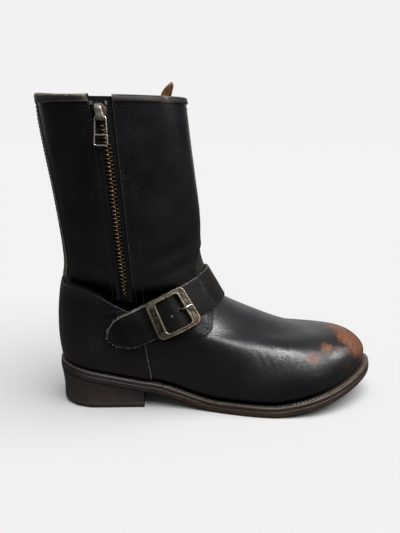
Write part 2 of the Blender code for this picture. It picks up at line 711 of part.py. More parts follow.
def smoothed(values, width):
    padded = np.pad(values, width // 2, mode="edge")
    return np.convolve(padded, np.ones(width) / width, mode="valid")


def tree_of(obj):
    graph = bpy.context.evaluated_depsgraph_get()
    return BVHTree.FromObject(obj, graph)


def strap_lift(s):
    stations, lifts = zip(*STRAP_LIFT)
    return float(np.interp(s, stations, lifts))


def strap_edges(s):
    """Lower and upper edge of the strap: full width, then a rounded, pointed tail."""
    share = min(0.995, max(0.0, (s - TAIL_START) / (TAIL_END - TAIL_START)))
    half = STRAP_HALF * (1.0 - share**2) ** 0.62
    return -half, half


def strap_sections(path, stations, low, thickness, edges):
    sections = []
    for s in stations:
        lower, upper = edges(s)
        base = low(s)
        corners = ((lower, base), (upper, base), (upper, base + thickness), (lower, base + thickness))
        sections.append([path.at(s, w, h) for w, h in corners])
    return sections


def make_strap(path):
    stations = np.concatenate([np.linspace(STRAP_FAR_END, -26.0, 32), np.linspace(-21.0, 21.0, 13),
                               np.linspace(25.0, TAIL_END, 12)])
    strap = loft("instep_strap", strap_sections(path, stations, strap_lift, STRAP_T, strap_edges),
                 "strap_leather")
    hole = ((-11.6, -1.9), (-1.2, -1.9), (-1.2, 1.9), (-11.6, 1.9))
    cutter = loft("prong_hole", [[path.at(s, w, h) for s, w in hole] for h in (-2.0, 14.0)])
    combine(strap, cutter, "DIFFERENCE")
    chape_stations = np.linspace(-5.0, CHAPE_END, 16)
    loft("strap_chape", strap_sections(path, chape_stations, lambda s: 0.0, CHAPE_T,
                                       lambda s: (-CHAPE_HALF, CHAPE_HALF)), "strap_leather")


def frame_low(s):
    return FRAME_LIFT - FRAME_DROP * (s / BUCKLE_HALF_S) ** 2


def ring_outline(s_low, s_high, half_w, radius, sides=7, corner=4):
    """Rounded rectangle in strap space with evenly split sides, from its middle of the tail side."""
    corners = ((s_high, half_w), (s_low, half_w), (s_low, -half_w), (s_high, -half_w))
    points = []
    for k, (s, w) in enumerate(corners):
        start_angle = math.pi / 2.0 * k
        centre = (s - math.copysign(radius, s - 0.5 * (s_low + s_high)), w - math.copysign(radius, w))
        for i in range(corner + 1):
            a = start_angle + math.pi / 2.0 * i / corner
            points.append((centre[0] + radius * math.cos(a), centre[1] + radius * math.sin(a)))
        following = corners[(k + 1) % 4]
        end = (following[0] - math.copysign(radius, following[0] - 0.5 * (s_low + s_high)),
               following[1] - math.copysign(radius, following[1]))
        a = start_angle + math.pi / 2.0
        shift = (radius * math.cos(a), radius * math.sin(a))
        first = (centre[0] + shift[0], centre[1] + shift[1])
        last = (end[0] + shift[0], end[1] + shift[1])
        for i in range(1, sides):
            share = i / sides
            points.append((first[0] + (last[0] - first[0]) * share, first[1] + (last[1] - first[1]) * share))
    return points


def make_buckle(path):
    outside = ring_outline(-BUCKLE_HALF_S, BUCKLE_HALF_S, BUCKLE_HALF_W, 5.0)
    inside = ring_outline(WINDOW_FRONT_S, WINDOW_TAIL_S, WINDOW_HALF_W, 3.0)
    round_off = 0.7
    sections = []
    for (so, wo), (si, wi) in zip(outside, inside):
        section = []
        for share, lift in ((0.0, 0.0), (0.0, FRAME_T - round_off), (0.14, FRAME_T), (0.86, FRAME_T),
                            (1.0, FRAME_T - round_off), (1.0, 0.0)):
            s, w = so + (si - so) * share, wo + (wi - wo) * share
            section.append(path.at(s, w, frame_low(s) + lift))
        sections.append(section)
    frame = loft("buckle_frame", sections, "old_nickel", closed=True)
    bar_h = CHAPE_T + GAP + BAR_R
    rail = STRAP_HALF + 0.3 + BAR_R
    high = FRAME_LIFT + 0.8
    staple = ((0.0, -rail, high), (0.0, -rail, bar_h), (0.0, 0.0, bar_h),
              (0.0, rail, bar_h), (0.0, rail, high))
    bar = loft("centre_bar", square_sections(path, staple, BAR_R))
    combine(frame, bar, "UNION")
    tip = [path.at(s, 0.0, h) for s, h in PRONG_PATH]
    loft("buckle_prong", tube_sections(tip, PRONG_R), "old_nickel")


def square_sections(path, places, half):
    """Mitred bar of square section through places of strap space with one s."""
    sections = []
    for k, (s, w, h) in enumerate(places):
        before, after = places[max(k - 1, 0)], places[min(k + 1, len(places) - 1)]
        first = Vector((w - before[1], h - before[2])) if k else Vector((after[1] - w, after[2] - h))
        second = Vector((after[1] - w, after[2] - h)) if k < len(places) - 1 else first
        first.normalize()
        second.normalize()
        mitre = (Vector((-first.y, first.x)) + Vector((-second.y, second.x))).normalized()
        mitre /= max(0.5, mitre.dot(Vector((-first.y, first.x))))
        section = []
        for along, out in ((-1.0, -1.0), (1.0, -1.0), (1.0, 1.0), (-1.0, 1.0)):
            section.append(path.at(s + along * half, w + out * half * mitre.x, h + out * half * mitre.y))
        sections.append(section)
    return sections


# Zip

class ZipPath:
    """Zip space: distance along the zip from the collar, across it, and above the upper's surface."""

    def __init__(self):
        self.places = np.linspace(1.0, ZIP_FOOT_V - 0.06, 120)
        line = np.array([surface_at(zip_turn(v), v)[0] for v in self.places])
        self.run = np.concatenate([[0.0], np.cumsum(np.linalg.norm(np.diff(line, axis=0), axis=1))])
        self.foot = float(np.interp(-ZIP_FOOT_V, -self.places, self.run))

    def at(self, along, across, high):
        v = float(np.interp(along, self.run, self.places))
        stretch = frame_at(zip_turn(v), v)[4][0]
        return offset_at(zip_turn(v) + across / stretch, v, high)[0]

    def axes(self, along):
        """Origin, direction across, direction down the zip and outward normal at a place."""
        origin = self.at(along, 0.0, 0.0)
        across = self.at(along, 1.0, 0.0) - self.at(along, -1.0, 0.0)
        down = self.at(along + 1.0, 0.0, 0.0) - self.at(along - 1.0, 0.0, 0.0)
        across /= np.linalg.norm(across)
        down /= np.linalg.norm(down)
        return origin, across, down, np.cross(across, -down)


def zip_loft(name, path, stations, section, surface=None):
    """Loft along the zip; section(along) gives (across, high) corners."""
    return loft(name, [[path.at(s, w, h) for w, h in section(s)] for s in stations], surface)


def make_zip(path):
    top = -WALL - GAP
    foot = path.foot + TAPE_TAIL
    for name, side in (("zip_tape_rear", -1.0), ("zip_tape_front", 1.0)):
        edge = ((GAP / 2.0, top), (TAPE_HALF / 2.0, top), (TAPE_HALF, top - TAPE_DROP))
        corners = [(side * w, h) for w, h in edge] + [(side * w, h - TAPE_T) for w, h in reversed(edge)]
        zip_loft(name, path, np.linspace(TAPE_TOP, foot, 16), lambda s, c=corners: c, "zip_tape")
    chain_foot = path.foot - CHAIN_SPARE
    half_pitch = TOOTH_PITCH / 2.0

    def tooth(s):
        proud = round((s - CHAIN_TOP) / half_pitch) % 2
        half, high = CHAIN_HALF - 0.7 * proud, CHAIN_HIGH - 0.5 * proud
        return ((-half, CHAIN_LOW), (half, CHAIN_LOW), (half, high), (-half, high))

    stations = np.arange(CHAIN_TOP, chain_foot, half_pitch)
    zip_loft("zip_chain", path, stations, tooth, "antique_brass")
    for name, middle, half in STOP_PLACES:
        add_stop(name, path, TAPE_TOP + GAP, middle, half)
    add_stop("zip_stop_foot", path, stations[-1] + GAP, 0.0, FOOT_STOP_HALF)
    make_slider(path)
    make_pull_tab(path)


def add_stop(name, path, start, middle, half):
    corners = ((middle - half, CHAIN_LOW), (middle + half, CHAIN_LOW),
               (middle + half, STOP_HIGH), (middle - half, STOP_HIGH))
    zip_loft(name, path, (start, start + STOP_LONG), lambda s: corners, "antique_brass")


def make_slider(path):
    """Slider body over the chain, with the bail that holds the pull tab."""
    clear = CHAIN_HALF + GAP
    plate_low, plate_high = CHAIN_HIGH + GAP, 1.3

    def body(s):
        half = float(np.interp(s, *np.transpose(SLIDER_SHAPE)))
        return ((-half, plate_high), (half, plate_high), (half, CHAIN_LOW), (clear, CHAIN_LOW),
                (clear, plate_low), (-clear, plate_low), (-clear, CHAIN_LOW), (-half, CHAIN_LOW))

    slider = zip_loft("zip_slider", path, [s for s, _ in SLIDER_SHAPE], body, "old_nickel")
    sides = (-BAIL_HALF, BAIL_HALF)
    arch = loft("slider_bail", [[path.at(s, w, h) for s, h in BAIL_PROFILE] for w in sides])
    combine(slider, arch, "UNION")


def make_pull_tab(path):
    """Cast pull tab with two windows, hung on the slider's bail. Its empty is on the hinge axis."""
    origin, across, _, outward = path.axes(PIVOT_ALONG)
    pivot = origin + PIVOT_HIGH * outward
    down = np.array([0.0, 0.0, -1.0])
    down -= across * down.dot(across)
    down /= np.linalg.norm(down)
    curve = bpy.data.curves.new("zip_pull_outline", "CURVE")
    curve.dimensions = "2D"
    curve.fill_mode = "BOTH"
    curve.extrude = TAB_BAR * MM
    for points in (TAB_OUTLINE, *TAB_WINDOWS):
        spline = curve.splines.new("POLY")
        spline.points.add(len(points) - 1)
        spline.use_cyclic_u = True
        for point, (x, y) in zip(spline.points, points):
            point.co = (x * MM, y * MM, 0.0, 1.0)
    flat = bpy.data.objects.new("zip_pull_flat", curve)
    cutters.objects.link(flat)
    graph = bpy.context.evaluated_depsgraph_get()
    mesh = bpy.data.meshes.new_from_object(flat.evaluated_get(graph))
    bpy.data.objects.remove(flat, do_unlink=True)
    bm = bmesh.new()
    bm.from_mesh(mesh)
    bmesh.ops.remove_doubles(bm, verts=bm.verts, dist=1e-6)
    bmesh.ops.recalc_face_normals(bm, faces=bm.faces)
    bm.to_mesh(mesh)
    bm.free()
    mesh.materials.clear()
    mesh.name = "zip_pull"
    tab = add_object("zip_pull", mesh, "old_nickel")
    hinge = bpy.data.objects.new("zip_pull_hinge", None)
    boot.objects.link(hinge)
    columns = Matrix((across, down, np.cross(across, down))).transposed().to_4x4()
    hinge.matrix_world = Matrix.Translation(Vector(pivot) * MM) @ columns
    tab.parent = hinge


def main():
    sole_space = make_sole()
    make_heel()
    carriers = make_upper(sole_space)
    make_back_strip()
    make_binding()
    make_pull_loop()
    bpy.context.view_layer.update()
    path = StrapPath(carriers)
    make_strap(path)
    make_buckle(path)
    make_zip(ZipPath())


main()
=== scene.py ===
import math

import bmesh
import bpy
import numpy as np
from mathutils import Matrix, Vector
from mathutils.bvhtree import BVHTree


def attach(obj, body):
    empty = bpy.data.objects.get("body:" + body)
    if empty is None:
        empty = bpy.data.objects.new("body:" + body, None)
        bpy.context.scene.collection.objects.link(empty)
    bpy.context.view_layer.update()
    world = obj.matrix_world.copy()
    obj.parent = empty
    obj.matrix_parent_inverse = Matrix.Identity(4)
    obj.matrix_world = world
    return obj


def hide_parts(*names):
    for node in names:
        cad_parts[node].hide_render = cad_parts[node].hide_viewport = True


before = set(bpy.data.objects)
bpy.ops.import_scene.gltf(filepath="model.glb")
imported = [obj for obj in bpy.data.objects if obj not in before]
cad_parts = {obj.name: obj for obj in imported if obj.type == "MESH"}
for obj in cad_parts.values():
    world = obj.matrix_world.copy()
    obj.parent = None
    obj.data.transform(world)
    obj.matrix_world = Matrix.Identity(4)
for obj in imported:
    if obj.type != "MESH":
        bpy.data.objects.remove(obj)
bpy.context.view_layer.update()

mm = 0.001  # sizes below are in millimetres
gap = 0.3  # clearance between pieces that touch
fullTurn = 2 * math.pi
rng = np.random.default_rng(11)  # one seed for loose fibres and uneven stitches
scene = bpy.context.scene
print("frame loaded")


def linear(code):
    parts = [int(code[i:i + 2], 16) / 255 for i in (0, 2, 4)]
    return tuple(p / 12.92 if p <= 0.04045 else ((p + 0.055) / 1.055) ** 2.4 for p in parts) + (1.0,)


def setInputs(tree, node, inputs):
    for key, value in inputs.items():
        if isinstance(value, bpy.types.NodeSocket):
            tree.links.new(value, node.inputs[key])
        else:
            node.inputs[key].default_value = value


def addNode(tree, kind, inputs=None, out=0, **settings):
    node = tree.nodes.new("ShaderNode" + kind)
    for key, value in settings.items():
        setattr(node, key, value)
    setInputs(tree, node, inputs or {})
    return node.outputs[out]


def newSurface(name, *marks):
    # marks: masks painted on the mesh, such as its rubbed edges
    material = bpy.data.materials.new(name)
    material.use_nodes = True
    tree = material.node_tree
    painted = [addNode(tree, "Attribute", out="Fac", attribute_name=mark) for mark in marks]
    return material, tree, addNode(tree, "TexCoord", out="Object"), *painted


def finishSurface(material, base, coats, relief, inputs):
    # coats: mask and colour, each over the last; relief: height, strength and depth
    tree, colour, normal = material.node_tree, linear(base), {}
    for mask, coat in coats:
        coat = linear(coat) if isinstance(coat, str) else coat
        colour = addNode(tree, "Mix", {0: mask, 6: colour, 7: coat}, 2, data_type="RGBA")
    for height, strength, depth in relief:
        bump = addNode(tree, "Bump", {"Height": height, "Strength": strength, "Distance": depth, **normal})
        normal = {"Normal": bump}
    setInputs(tree, tree.nodes["Principled BSDF"], {"Base Color": colour, **normal, **inputs})
    return material


def makeLeather(name, colours, rub, scratch, rough, shine, grain=0.0011, bump=0.25, toe=None):
    base, tone, dusty, pale = colours
    material, tree, place, dust, edge, paintedShade, flex = newSurface(name, "dust", "edge", "paintedShade", "flex")
    # scratches lie aslant, wrinkles stand upright
    slant, upright = (
        addNode(tree, "Mapping", {"Vector": place, "Rotation": (0.0, turn, 0.0), "Scale": scale})
        for turn, scale in ((0.5, (1.0, 1.0, 0.2)), (0.2, (1.0, 0.1, 0.12))))
    # 22 mm clouds, 30 mm patches, 3 mm specks and folds, 9 mm streaks, 1.7 mm wrinkles
    cloud, patch, speck, fold, streak, wrinkle = (
        addNode(tree, "TexNoise", {"Vector": way, "Scale": 1 / size, "Detail": detail, "Roughness": mix})
        for way, size, detail, mix in (
            (place, 0.022, 4, 0.5), (place, 0.03, 2, 0.5), (place, 0.003, 5, 0.7), (place, 0.003, 5, 0.6),
            (slant, 0.009, 2, 0.5), (upright, 0.0017, 4, 0.5)))
    cloudy = addNode(tree, "MapRange", {"Value": cloud, "From Min": 0.42, "From Max": 0.62})
    thin = addNode(tree, "Math", {0: streak, 1: 0.5}, operation="SUBTRACT")
    thin = addNode(tree, "Math", {0: thin}, operation="ABSOLUTE")
    thin = addNode(tree, "MapRange", {"Value": thin, "From Max": 0.0035, "To Min": 1.0, "To Max": 0.0})
    patchy = addNode(tree, "MapRange", {"Value": patch, "From Min": 0.56, "From Max": 0.7, "To Max": scratch})
    scratches = addNode(tree, "Math", {0: thin, 1: patchy}, operation="MULTIPLY")
    rubbed = addNode(tree, "Math", {0: edge, 1: speck}, operation="ADD")
    rubbed = addNode(tree, "MapRange", {"Value": rubbed, "From Min": 1.0, "From Max": 1.45, "To Max": rub})
    dull = addNode(tree, "MapRange", {"Value": patch, "From Min": 0.3, "From Max": 0.7,
                                      "To Min": rough - 0.07, "To Max": rough + 0.08})
    dull = addNode(tree, "Mix", {0: rubbed, 2: dull, 3: 0.75})
    coats = [(cloudy, tone), (dust, dusty), (scratches, pale), (rubbed, pale)]
    if toe:
        wear = addNode(tree, "Attribute", out="Fac", attribute_name="wear")
        # ragged at 6 mm where the black is rubbed away
        ragged = addNode(tree, "TexNoise", {"Vector": place, "Scale": 1 / 0.006, "Detail": 6,
                                            "Roughness": 0.7})
        worn = addNode(tree, "Math", {0: wear, 1: ragged}, operation="ADD")
        thin = addNode(tree, "MapRange", {"Value": worn, "From Min": 0.62, "From Max": 0.96, "To Max": 0.85})
        bare = addNode(tree, "MapRange", {"Value": worn, "From Min": 0.84, "From Max": 1.24})
        tan = addNode(tree, "MapRange", {"Value": speck, "From Min": 0.38, "From Max": 0.62})
        tan = addNode(tree, "Mix", {0: tan, 6: linear(toe[1]), 7: linear(toe[2])}, 2, data_type="RGBA")
        coats += [(thin, toe[0]), (bare, tan)]
        dull = addNode(tree, "Mix", {0: bare, 2: dull, 3: 0.5})
    # painted shade: near black where folds, creases and the gap at the sole lie in shadow
    coats.append((paintedShade, "030303"))
    pores = addNode(tree, "TexVoronoi", {"Vector": place, "Scale": 1 / grain}, "Distance")
    wrinkles = addNode(tree, "Math", {0: wrinkle, 1: flex}, operation="MULTIPLY")
    relief = ((pores, bump, 0.0003), (fold, bump * 0.7, 0.0006), (wrinkles, 0.3, 0.001))
    # painted shade: metallic with almost no colour, so the painted shade of a crease gives back no shine
    # either
    return finishSurface(material, base, coats, relief, {
        "Roughness": dull, "Metallic": paintedShade, "IOR": 1.45, "Specular IOR Level": shine})


# colours: base, cloudy tone, dust, and pale where it is rubbed
# the grain, finer in real leather, is drawn at about 1 mm so that it shows
# waxed black leather, the vamp: dark with a dull grey sheen, brown where the toe is rubbed through
vampLeather = makeLeather("waxedVampLeather", ("141518", "1c1d20", "2f2b24", "6a625a"), rub=0.8, scratch=0.3,
                          rough=0.32, shine=0.46, toe=("2b1b14", "633a26", "8f5939"))
# waxed black leather, the leg: a little bluer at the top, olive lower down
shaftLeather = makeLeather("waxedLegLeather", ("1b1b1f", "222226", "2a2722", "87827a"), rub=0.85,
                           scratch=0.45, rough=0.28, shine=0.1)
# waxed black leather, the counter: polished by rubbing, with an olive cast near the sole
counterLeather = makeLeather("waxedCounterLeather", ("17181b", "1e1f22", "332e25", "8a8276"), rub=0.85,
                             scratch=0.35, rough=0.31, shine=0.24)
# thick strap leather: black face, pale raw fibres along the cut edges
strapLeather = makeLeather("cutStrapLeather", ("222120", "2b2926", "2b2822", "a5a399"), rub=1.0, scratch=0.3,
                           rough=0.33, shine=0.05, grain=0.0012, bump=0.28)
# thin binding leather: brown-black, worn brown-grey along its fold
bindingLeather = makeLeather("wornBindingLeather", ("2a2624", "483f39", "4a3f38", "b3a598"), rub=1.0,
                             scratch=0.6, rough=0.5, shine=0.3, grain=0.0009, bump=0.3)
# rubbed black leather, the back strip: greyer and more olive than the leg, partly its rubbed face and partly
# a painted sheen of the light it catches at the back edge
stripLeather = makeLeather("rubbedStripLeatherWithPaintedSheen", ("33312b", "4a473e", "2b2822", "7d796d"), rub=0.75,
                           scratch=0.4, rough=0.4, shine=0.5, bump=0.3)
# tan leather, the pull loop: dry, lighter than the lining
loopLeather = makeLeather("tanLoopLeather", ("9a6342", "b57a54", "6d4c36", "c39a78"), rub=0.6, scratch=0.4,
                          rough=0.6, shine=0.25, grain=0.0013, bump=0.5)
# natural brown leather: dry and matt, as inside a boot
liningLeather = makeLeather("brownLiningLeather", ("5a3d2b", "6d4c36", "3a2a1e", "9a785a"), rub=0.7,
                            scratch=0.4, rough=0.62, shine=0.25, grain=0.0013)


def makeSoleLeather(name, base, tone, pale, rub):
    material, tree, place, black, edge, paintedShade = newSurface(name, "black", "edge", "paintedShade")
    flat = addNode(tree, "Mapping", {"Vector": place, "Scale": (0.12, 0.12, 1.0)})
    layer = addNode(tree, "TexNoise", {"Vector": flat, "Scale": 1 / 0.0011, "Detail": 4.0})  # 1.1 mm layers
    speck = addNode(tree, "TexNoise", {"Vector": place, "Scale": 1 / 0.006, "Detail": 5.0, "Roughness": 0.65})
    layered = addNode(tree, "MapRange", {"Value": layer, "From Min": 0.38, "From Max": 0.62})
    rubbed = addNode(tree, "Math", {0: edge, 1: speck}, operation="ADD")
    rubbed = addNode(tree, "MapRange", {"Value": rubbed, "From Min": 0.85, "From Max": 1.4, "To Max": rub})
    dull = addNode(tree, "MapRange", {"Value": speck, "From Min": 0.3, "From Max": 0.7,
                                      "To Min": 0.42, "To Max": 0.62})
    # painted shade: near black on the ledge where it lies in the shadow of the upper
    coats = ((layered, tone), (black, "29211c"), (rubbed, pale), (paintedShade, "060505"))
    relief = ((layer, 0.25, 0.0004), (speck, 0.3, 0.0008))
    return finishSurface(material, base, coats, relief, {"Roughness": dull})


# brown sole leather: layered edge, with a pale rubbed line at its corners
soleLeather = makeSoleLeather("brownSoleLeather", "31231b", "432f23", "857b71", 0.75)
# blackened sole leather: stacked heel and rand, almost black; its base is a little lighter than the sole's,
# painted light that makes up for the shade on the heel's inward-leaning sides
heelLeather = makeSoleLeather("blackenedHeelLeather", "382f29", "41362f", "7d756c", 0.65)
# heel rubber: matt and slightly greyer than the leather above it
heelRubber = makeSoleLeather("heelRubber", "3d3a37", "4a4642", "5a5550", 0.6)


def makeMetal(name, base, patina, rough, scale):
    material, tree, place, patinaAndShade, rust = newSurface(name, "patinaAndShade", "rust")
    cloud = addNode(tree, "TexNoise", {"Vector": place, "Scale": 1 / scale, "Detail": 5.0, "Roughness": 0.65})
    # the patina colour goes where the mark says: patina in hollows, and painted shade on the zip teeth near
    # the foot
    dark = addNode(tree, "Math", {0: patinaAndShade, 1: cloud}, operation="ADD")
    dark = addNode(tree, "MapRange", {"Value": dark, "From Min": 0.45, "From Max": 1.05})
    dull = addNode(tree, "MapRange", {"Value": dark, "To Min": rough, "To Max": rough + 0.25})
    return finishSurface(material, base, ((rust, "7d6a5e"), (dark, patina)), ((cloud, 0.25, 0.0003),),
                         {"Roughness": dull, "Metallic": 1.0})


# old nickel plate: soft grey shine, brown-black patina in the hollows
oldNickel = makeMetal("oldNickel", "857e70", "282419", 0.42, 0.003)
# bare zip metal: cleaner, rubbed by the hand
rubbedNickel = makeMetal("rubbedNickel", "bab3a8", "463f36", 0.28, 0.003)
# antique brass: brown-gold, dull
antiqueBrass = makeMetal("antiqueBrass", "78664e", "17120d", 0.36, 0.002)
# brass painted near black for the foot stop: painted shade of the fold it sits in
footStopShadeBrass = makeMetal("foldShadedBrass", "2e2419", "120d0a", 0.5, 0.002)


def makeCloth(name, base, tone, weave):
    material, tree, place = newSurface(name)
    # at a scale of 0.31 a wave is a metre long
    warp, weft = (
        addNode(tree, "TexWave", {"Vector": place, "Scale": 0.31 / weave}, "Fac", bands_direction=way)
        for way in "ZX")
    cross = addNode(tree, "Math", {0: warp, 1: weft}, operation="MULTIPLY")
    return finishSurface(material, base, ((cross, tone),), ((cross, 0.5, 0.0002),),
                         {"Roughness": 0.85, "Specular IOR Level": 0.2})


# woven zip tape: black, matt, 0.6 mm ribs
zipTape = makeCloth("wovenZipTape", "0b0b0c", "18181a", 0.0006)
# black waxed thread: dark, with a slight shine where it crosses the leather
blackThread = makeCloth("blackWaxedThread", "161514", "2c2a28", 0.0004)
# waxed cord: grey-olive, rubbed
oliveCord = makeCloth("oliveWaxedCord", "35332b", "625e50", 0.0005)
# pale linen thread: the welt seam and raw fibres
paleThread = makeCloth("paleLinenThread", "8f877a", "b0a898", 0.0004)
# soiled linen thread: the same seam where dirt has greyed it
greyThread = makeCloth("soiledLinenThread", "5d574e", "857d71", 0.0004)
print("materials made")


def pieceOf(name, points, faces, material, node=None, slot=None, marks=None, body="boot", weld=0.0,
            sharp=50.0, repair=True):
    mesh = bpy.data.meshes.new(name)
    mesh.from_pydata((np.asarray(points) * mm).tolist(), [], faces)
    for key, values in (marks or {}).items():
        mesh.attributes.new(key, "FLOAT", "POINT").data.foreach_set("value", np.asarray(values, np.float32))
    if weld or repair:
        bm = bmesh.new()
        bm.from_mesh(mesh)
        if weld:
            bmesh.ops.remove_doubles(bm, verts=bm.verts, dist=weld * mm)
        if repair:
            bmesh.ops.recalc_face_normals(bm, faces=bm.faces)
        bm.to_mesh(mesh)
        bm.free()
    mesh.materials.append(material)
    mesh.shade_smooth()
    mesh.set_sharp_from_angle(angle=math.radians(sharp))
    piece = bpy.data.objects.new(name, mesh)
    scene.collection.objects.link(piece)
    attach(piece, body)
    if node:
        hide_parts(node)
    return piece


def stripFaces(rows, columns, wrapRows=False, wrapColumns=False, start=0):
    i = np.arange(rows if wrapRows else rows - 1)[:, None]
    k = np.arange(columns if wrapColumns else columns - 1)[None, :]
    a, b = i * columns + k, i * columns + (k + 1) % columns
    d, c = (i + 1) % rows * columns + k, (i + 1) % rows * columns + (k + 1) % columns
    return (np.stack(np.broadcast_arrays(a, b, c, d), axis=-1).reshape(-1, 4) + start).tolist()


def joined(forms, closed=False):
    # lofted forms as one mesh: rings of points, either capped at both ends or closed round
    points, faces, start = [], [], 0
    for form in forms:
        form = np.asarray(form, float)
        rows, columns = form.shape[:2]
        faces += stripFaces(rows, columns, closed, True, start)
        if not closed:
            ring = np.arange(start, start + columns)
            faces += [ring[::-1].tolist(), (ring + (rows - 1) * columns).tolist()]
        points.append(form.reshape(-1, 3))
        start += rows * columns
    return np.concatenate(points), faces


def loftPiece(name, sections, material, closed=False, **options):
    pieceOf(name, *joined([sections], closed), material, **options)


def unit(rows):
    return rows / np.linalg.norm(rows, axis=-1, keepdims=True)


def runOf(path):
    # length along a path, at each of its points
    return np.concatenate([[0.0], np.cumsum(np.linalg.norm(np.diff(path, axis=0), axis=1))])


def ramp(value, start, end, least=0.0):
    # rises to 1 on the way from start to end
    return np.clip((value - start) / (end - start), least, 1)


def circle(count):
    return np.linspace(0, fullTurn, count, endpoint=False)


def tubeSections(path, radius, sides=10, closed=False):
    path = np.asarray(path, float)
    after = np.roll(path, -1, axis=0) if closed else np.concatenate([path[1:], path[-1:]])
    before = np.roll(path, 1, axis=0) if closed else np.concatenate([path[:1], path[:-1]])
    along = unit(after - before)
    radius = np.broadcast_to(radius, len(path))
    side = np.array(Vector(along[0]).orthogonal().normalized())
    sections, turn = [], circle(sides)[:, None]
    for point, run, size in zip(path, along, radius):
        side = unit(side - run * side.dot(run))
        up = np.cross(run, side)
        sections.append(point + size * (np.cos(turn) * side + np.sin(turn) * up))
    return np.array(sections)


bendStore = {}


def bendMatrix(knots):
    if knots not in bendStore:
        step = np.diff(knots)
        system, right = np.eye(len(knots)), np.zeros((len(knots), len(knots)))
        for i in range(1, len(knots) - 1):
            system[i, i - 1:i + 2] = step[i - 1], 2 * (step[i - 1] + step[i]), step[i]
            right[i, i - 1:i + 2] = 1 / step[i - 1], -1 / step[i - 1] - 1 / step[i], 1 / step[i]
        bendStore[knots] = 6 * np.linalg.solve(system, right)
    return bendStore[knots]


def splineAt(knots, values, at):
    values, at = np.asarray(values, float), np.atleast_1d(np.asarray(at, float))
    flat = values.reshape(len(knots), -1)
    bend = bendMatrix(tuple(knots)) @ flat
    knots = np.asarray(knots, float)
    step = np.diff(knots)
    i = np.clip(np.searchsorted(knots, at) - 1, 0, len(step) - 1)
    b = ((at - knots[i]) / step[i])[:, None]
    a = 1 - b
    square = (step[i] ** 2)[:, None] / 6
    read = a * flat[i] + b * flat[i + 1] + ((a**3 - a) * bend[i] + (b**3 - b) * bend[i + 1]) * square
    return read.reshape(len(at), *values.shape[1:])


def finePath(path, count):
    run = runOf(path)
    return splineAt(tuple(run), path, np.linspace(0, run[-1], count))


def roundedOutline(corners, arcSteps=8):
    points = []
    for k, (x, z, radius) in enumerate(corners):
        here = Vector((x, z))
        back = Vector(corners[k - 1][:2]) - here
        ahead = Vector(corners[(k + 1) % len(corners)][:2]) - here
        if radius <= 0:
            points.append(here)
            continue
        reach = min(radius / math.tan(back.angle(ahead) / 2), 0.49 * back.length, 0.49 * ahead.length)
        start, end = here + back.normalized() * reach, here + ahead.normalized() * reach
        for i in range(arcSteps + 1):
            share = i / arcSteps
            points.append(start.lerp(here, share).lerp(here.lerp(end, share), share))
    return np.array(points)


# side view of the sole
sole = {"back": -43.0, "tip": 258.0, "breast": 38.0, "breastHigh": 15.8, "heelSlope": 0.215, "spring": 24.0,
        "waistSlope": 0.05, "flatBack": 108.0, "flatFront": 156.0, "curl": 1.3, "outsole": 5.7, "welt": 3.7,
        "lift": 6.0, "taper": 2.6, "weltBack": 55.0, "margin": 6.2, "insole": 6.4, "wornBack": 3.0,
        "weltInset": 4.2, "insoleInset": 4.9}
# rings of the upper from the sole to the collar
ringKeys = ("backX", "backZ", "frontX", "frontZ", "follow", "heelW", "midW", "ballW", "toeW", "midY",
            "frontY", "backCap", "frontCap")
ringRows = (
    (-37.0, 44.0, 251.0, 34.0, 1.00, 27.5, 29.5, 46.8, 41.0, -3.2, 14.0, 30.0, 64.0),
    (-38.8, 52.0, 252.3, 41.0, 0.93, 30.0, 32.0, 49.0, 42.6, -3.2, 14.0, 32.0, 62.0),
    (-39.9, 62.5, 250.0, 48.5, 0.84, 31.5, 33.5, 49.0, 42.0, -3.2, 13.5, 33.0, 61.0),
    (-40.2, 73.0, 242.0, 57.0, 0.66, 32.2, 34.8, 46.0, 39.5, -3.0, 12.5, 34.0, 60.0),
    (-40.0, 84.0, 226.0, 64.6, 0.45, 32.5, 36.0, 41.5, 35.5, -2.5, 10.5, 35.0, 64.0),
    (-39.3, 94.5, 194.0, 67.6, 0.28, 32.5, 37.0, 37.0, 31.5, -1.5, 8.5, 37.0, 70.0),
    (-38.3, 104.0, 160.0, 77.0, 0.15, 32.5, 37.4, 35.0, 31.0, -0.5, 6.5, 41.0, 72.0),
    (-36.8, 112.5, 131.0, 89.0, 0.07, 32.8, 37.8, 35.3, 32.0, 0.0, 4.5, 46.0, 70.0),
    (-34.8, 121.0, 109.0, 101.5, 0.03, 33.6, 38.4, 37.0, 34.5, 0.0, 3.0, 52.0, 66.0),
    (-33.0, 131.5, 97.5, 121.0, 0.00, 35.5, 39.2, 39.0, 37.3, 0.0, 1.5, 57.0, 63.0),
    (-33.2, 144.0, 91.3, 139.0, 0.00, 38.0, 40.4, 40.4, 39.0, 0.0, 0.5, 60.0, 62.0),
    (-36.0, 170.0, 89.0, 170.0, 0.00, 40.5, 42.3, 42.3, 41.2, 0.0, 0.0, 62.0, 62.0),
    (-40.8, 205.0, 85.3, 205.0, 0.00, 43.0, 44.5, 44.5, 43.5, 0.0, 0.0, 62.0, 62.0),
    (-46.5, 240.0, 80.8, 240.0, 0.00, 45.5, 46.8, 46.8, 45.6, 0.0, 0.0, 63.0, 63.0),
    (-52.2, 280.8, 76.2, 279.2, 0.00, 47.5, 48.8, 48.8, 47.6, 0.0, 0.0, 64.0, 64.0),
)
widthShares = (0.0, 0.14, 0.42, 0.62, 1.0)
collarZ = 280.8
wall = 2.2  # thickness of the upper
shaftOut, shaftThick = 1.7, 1.4  # height of the leg's outer face above the upper, and its thickness
counterOut, counterThick = 3.4, 1.4


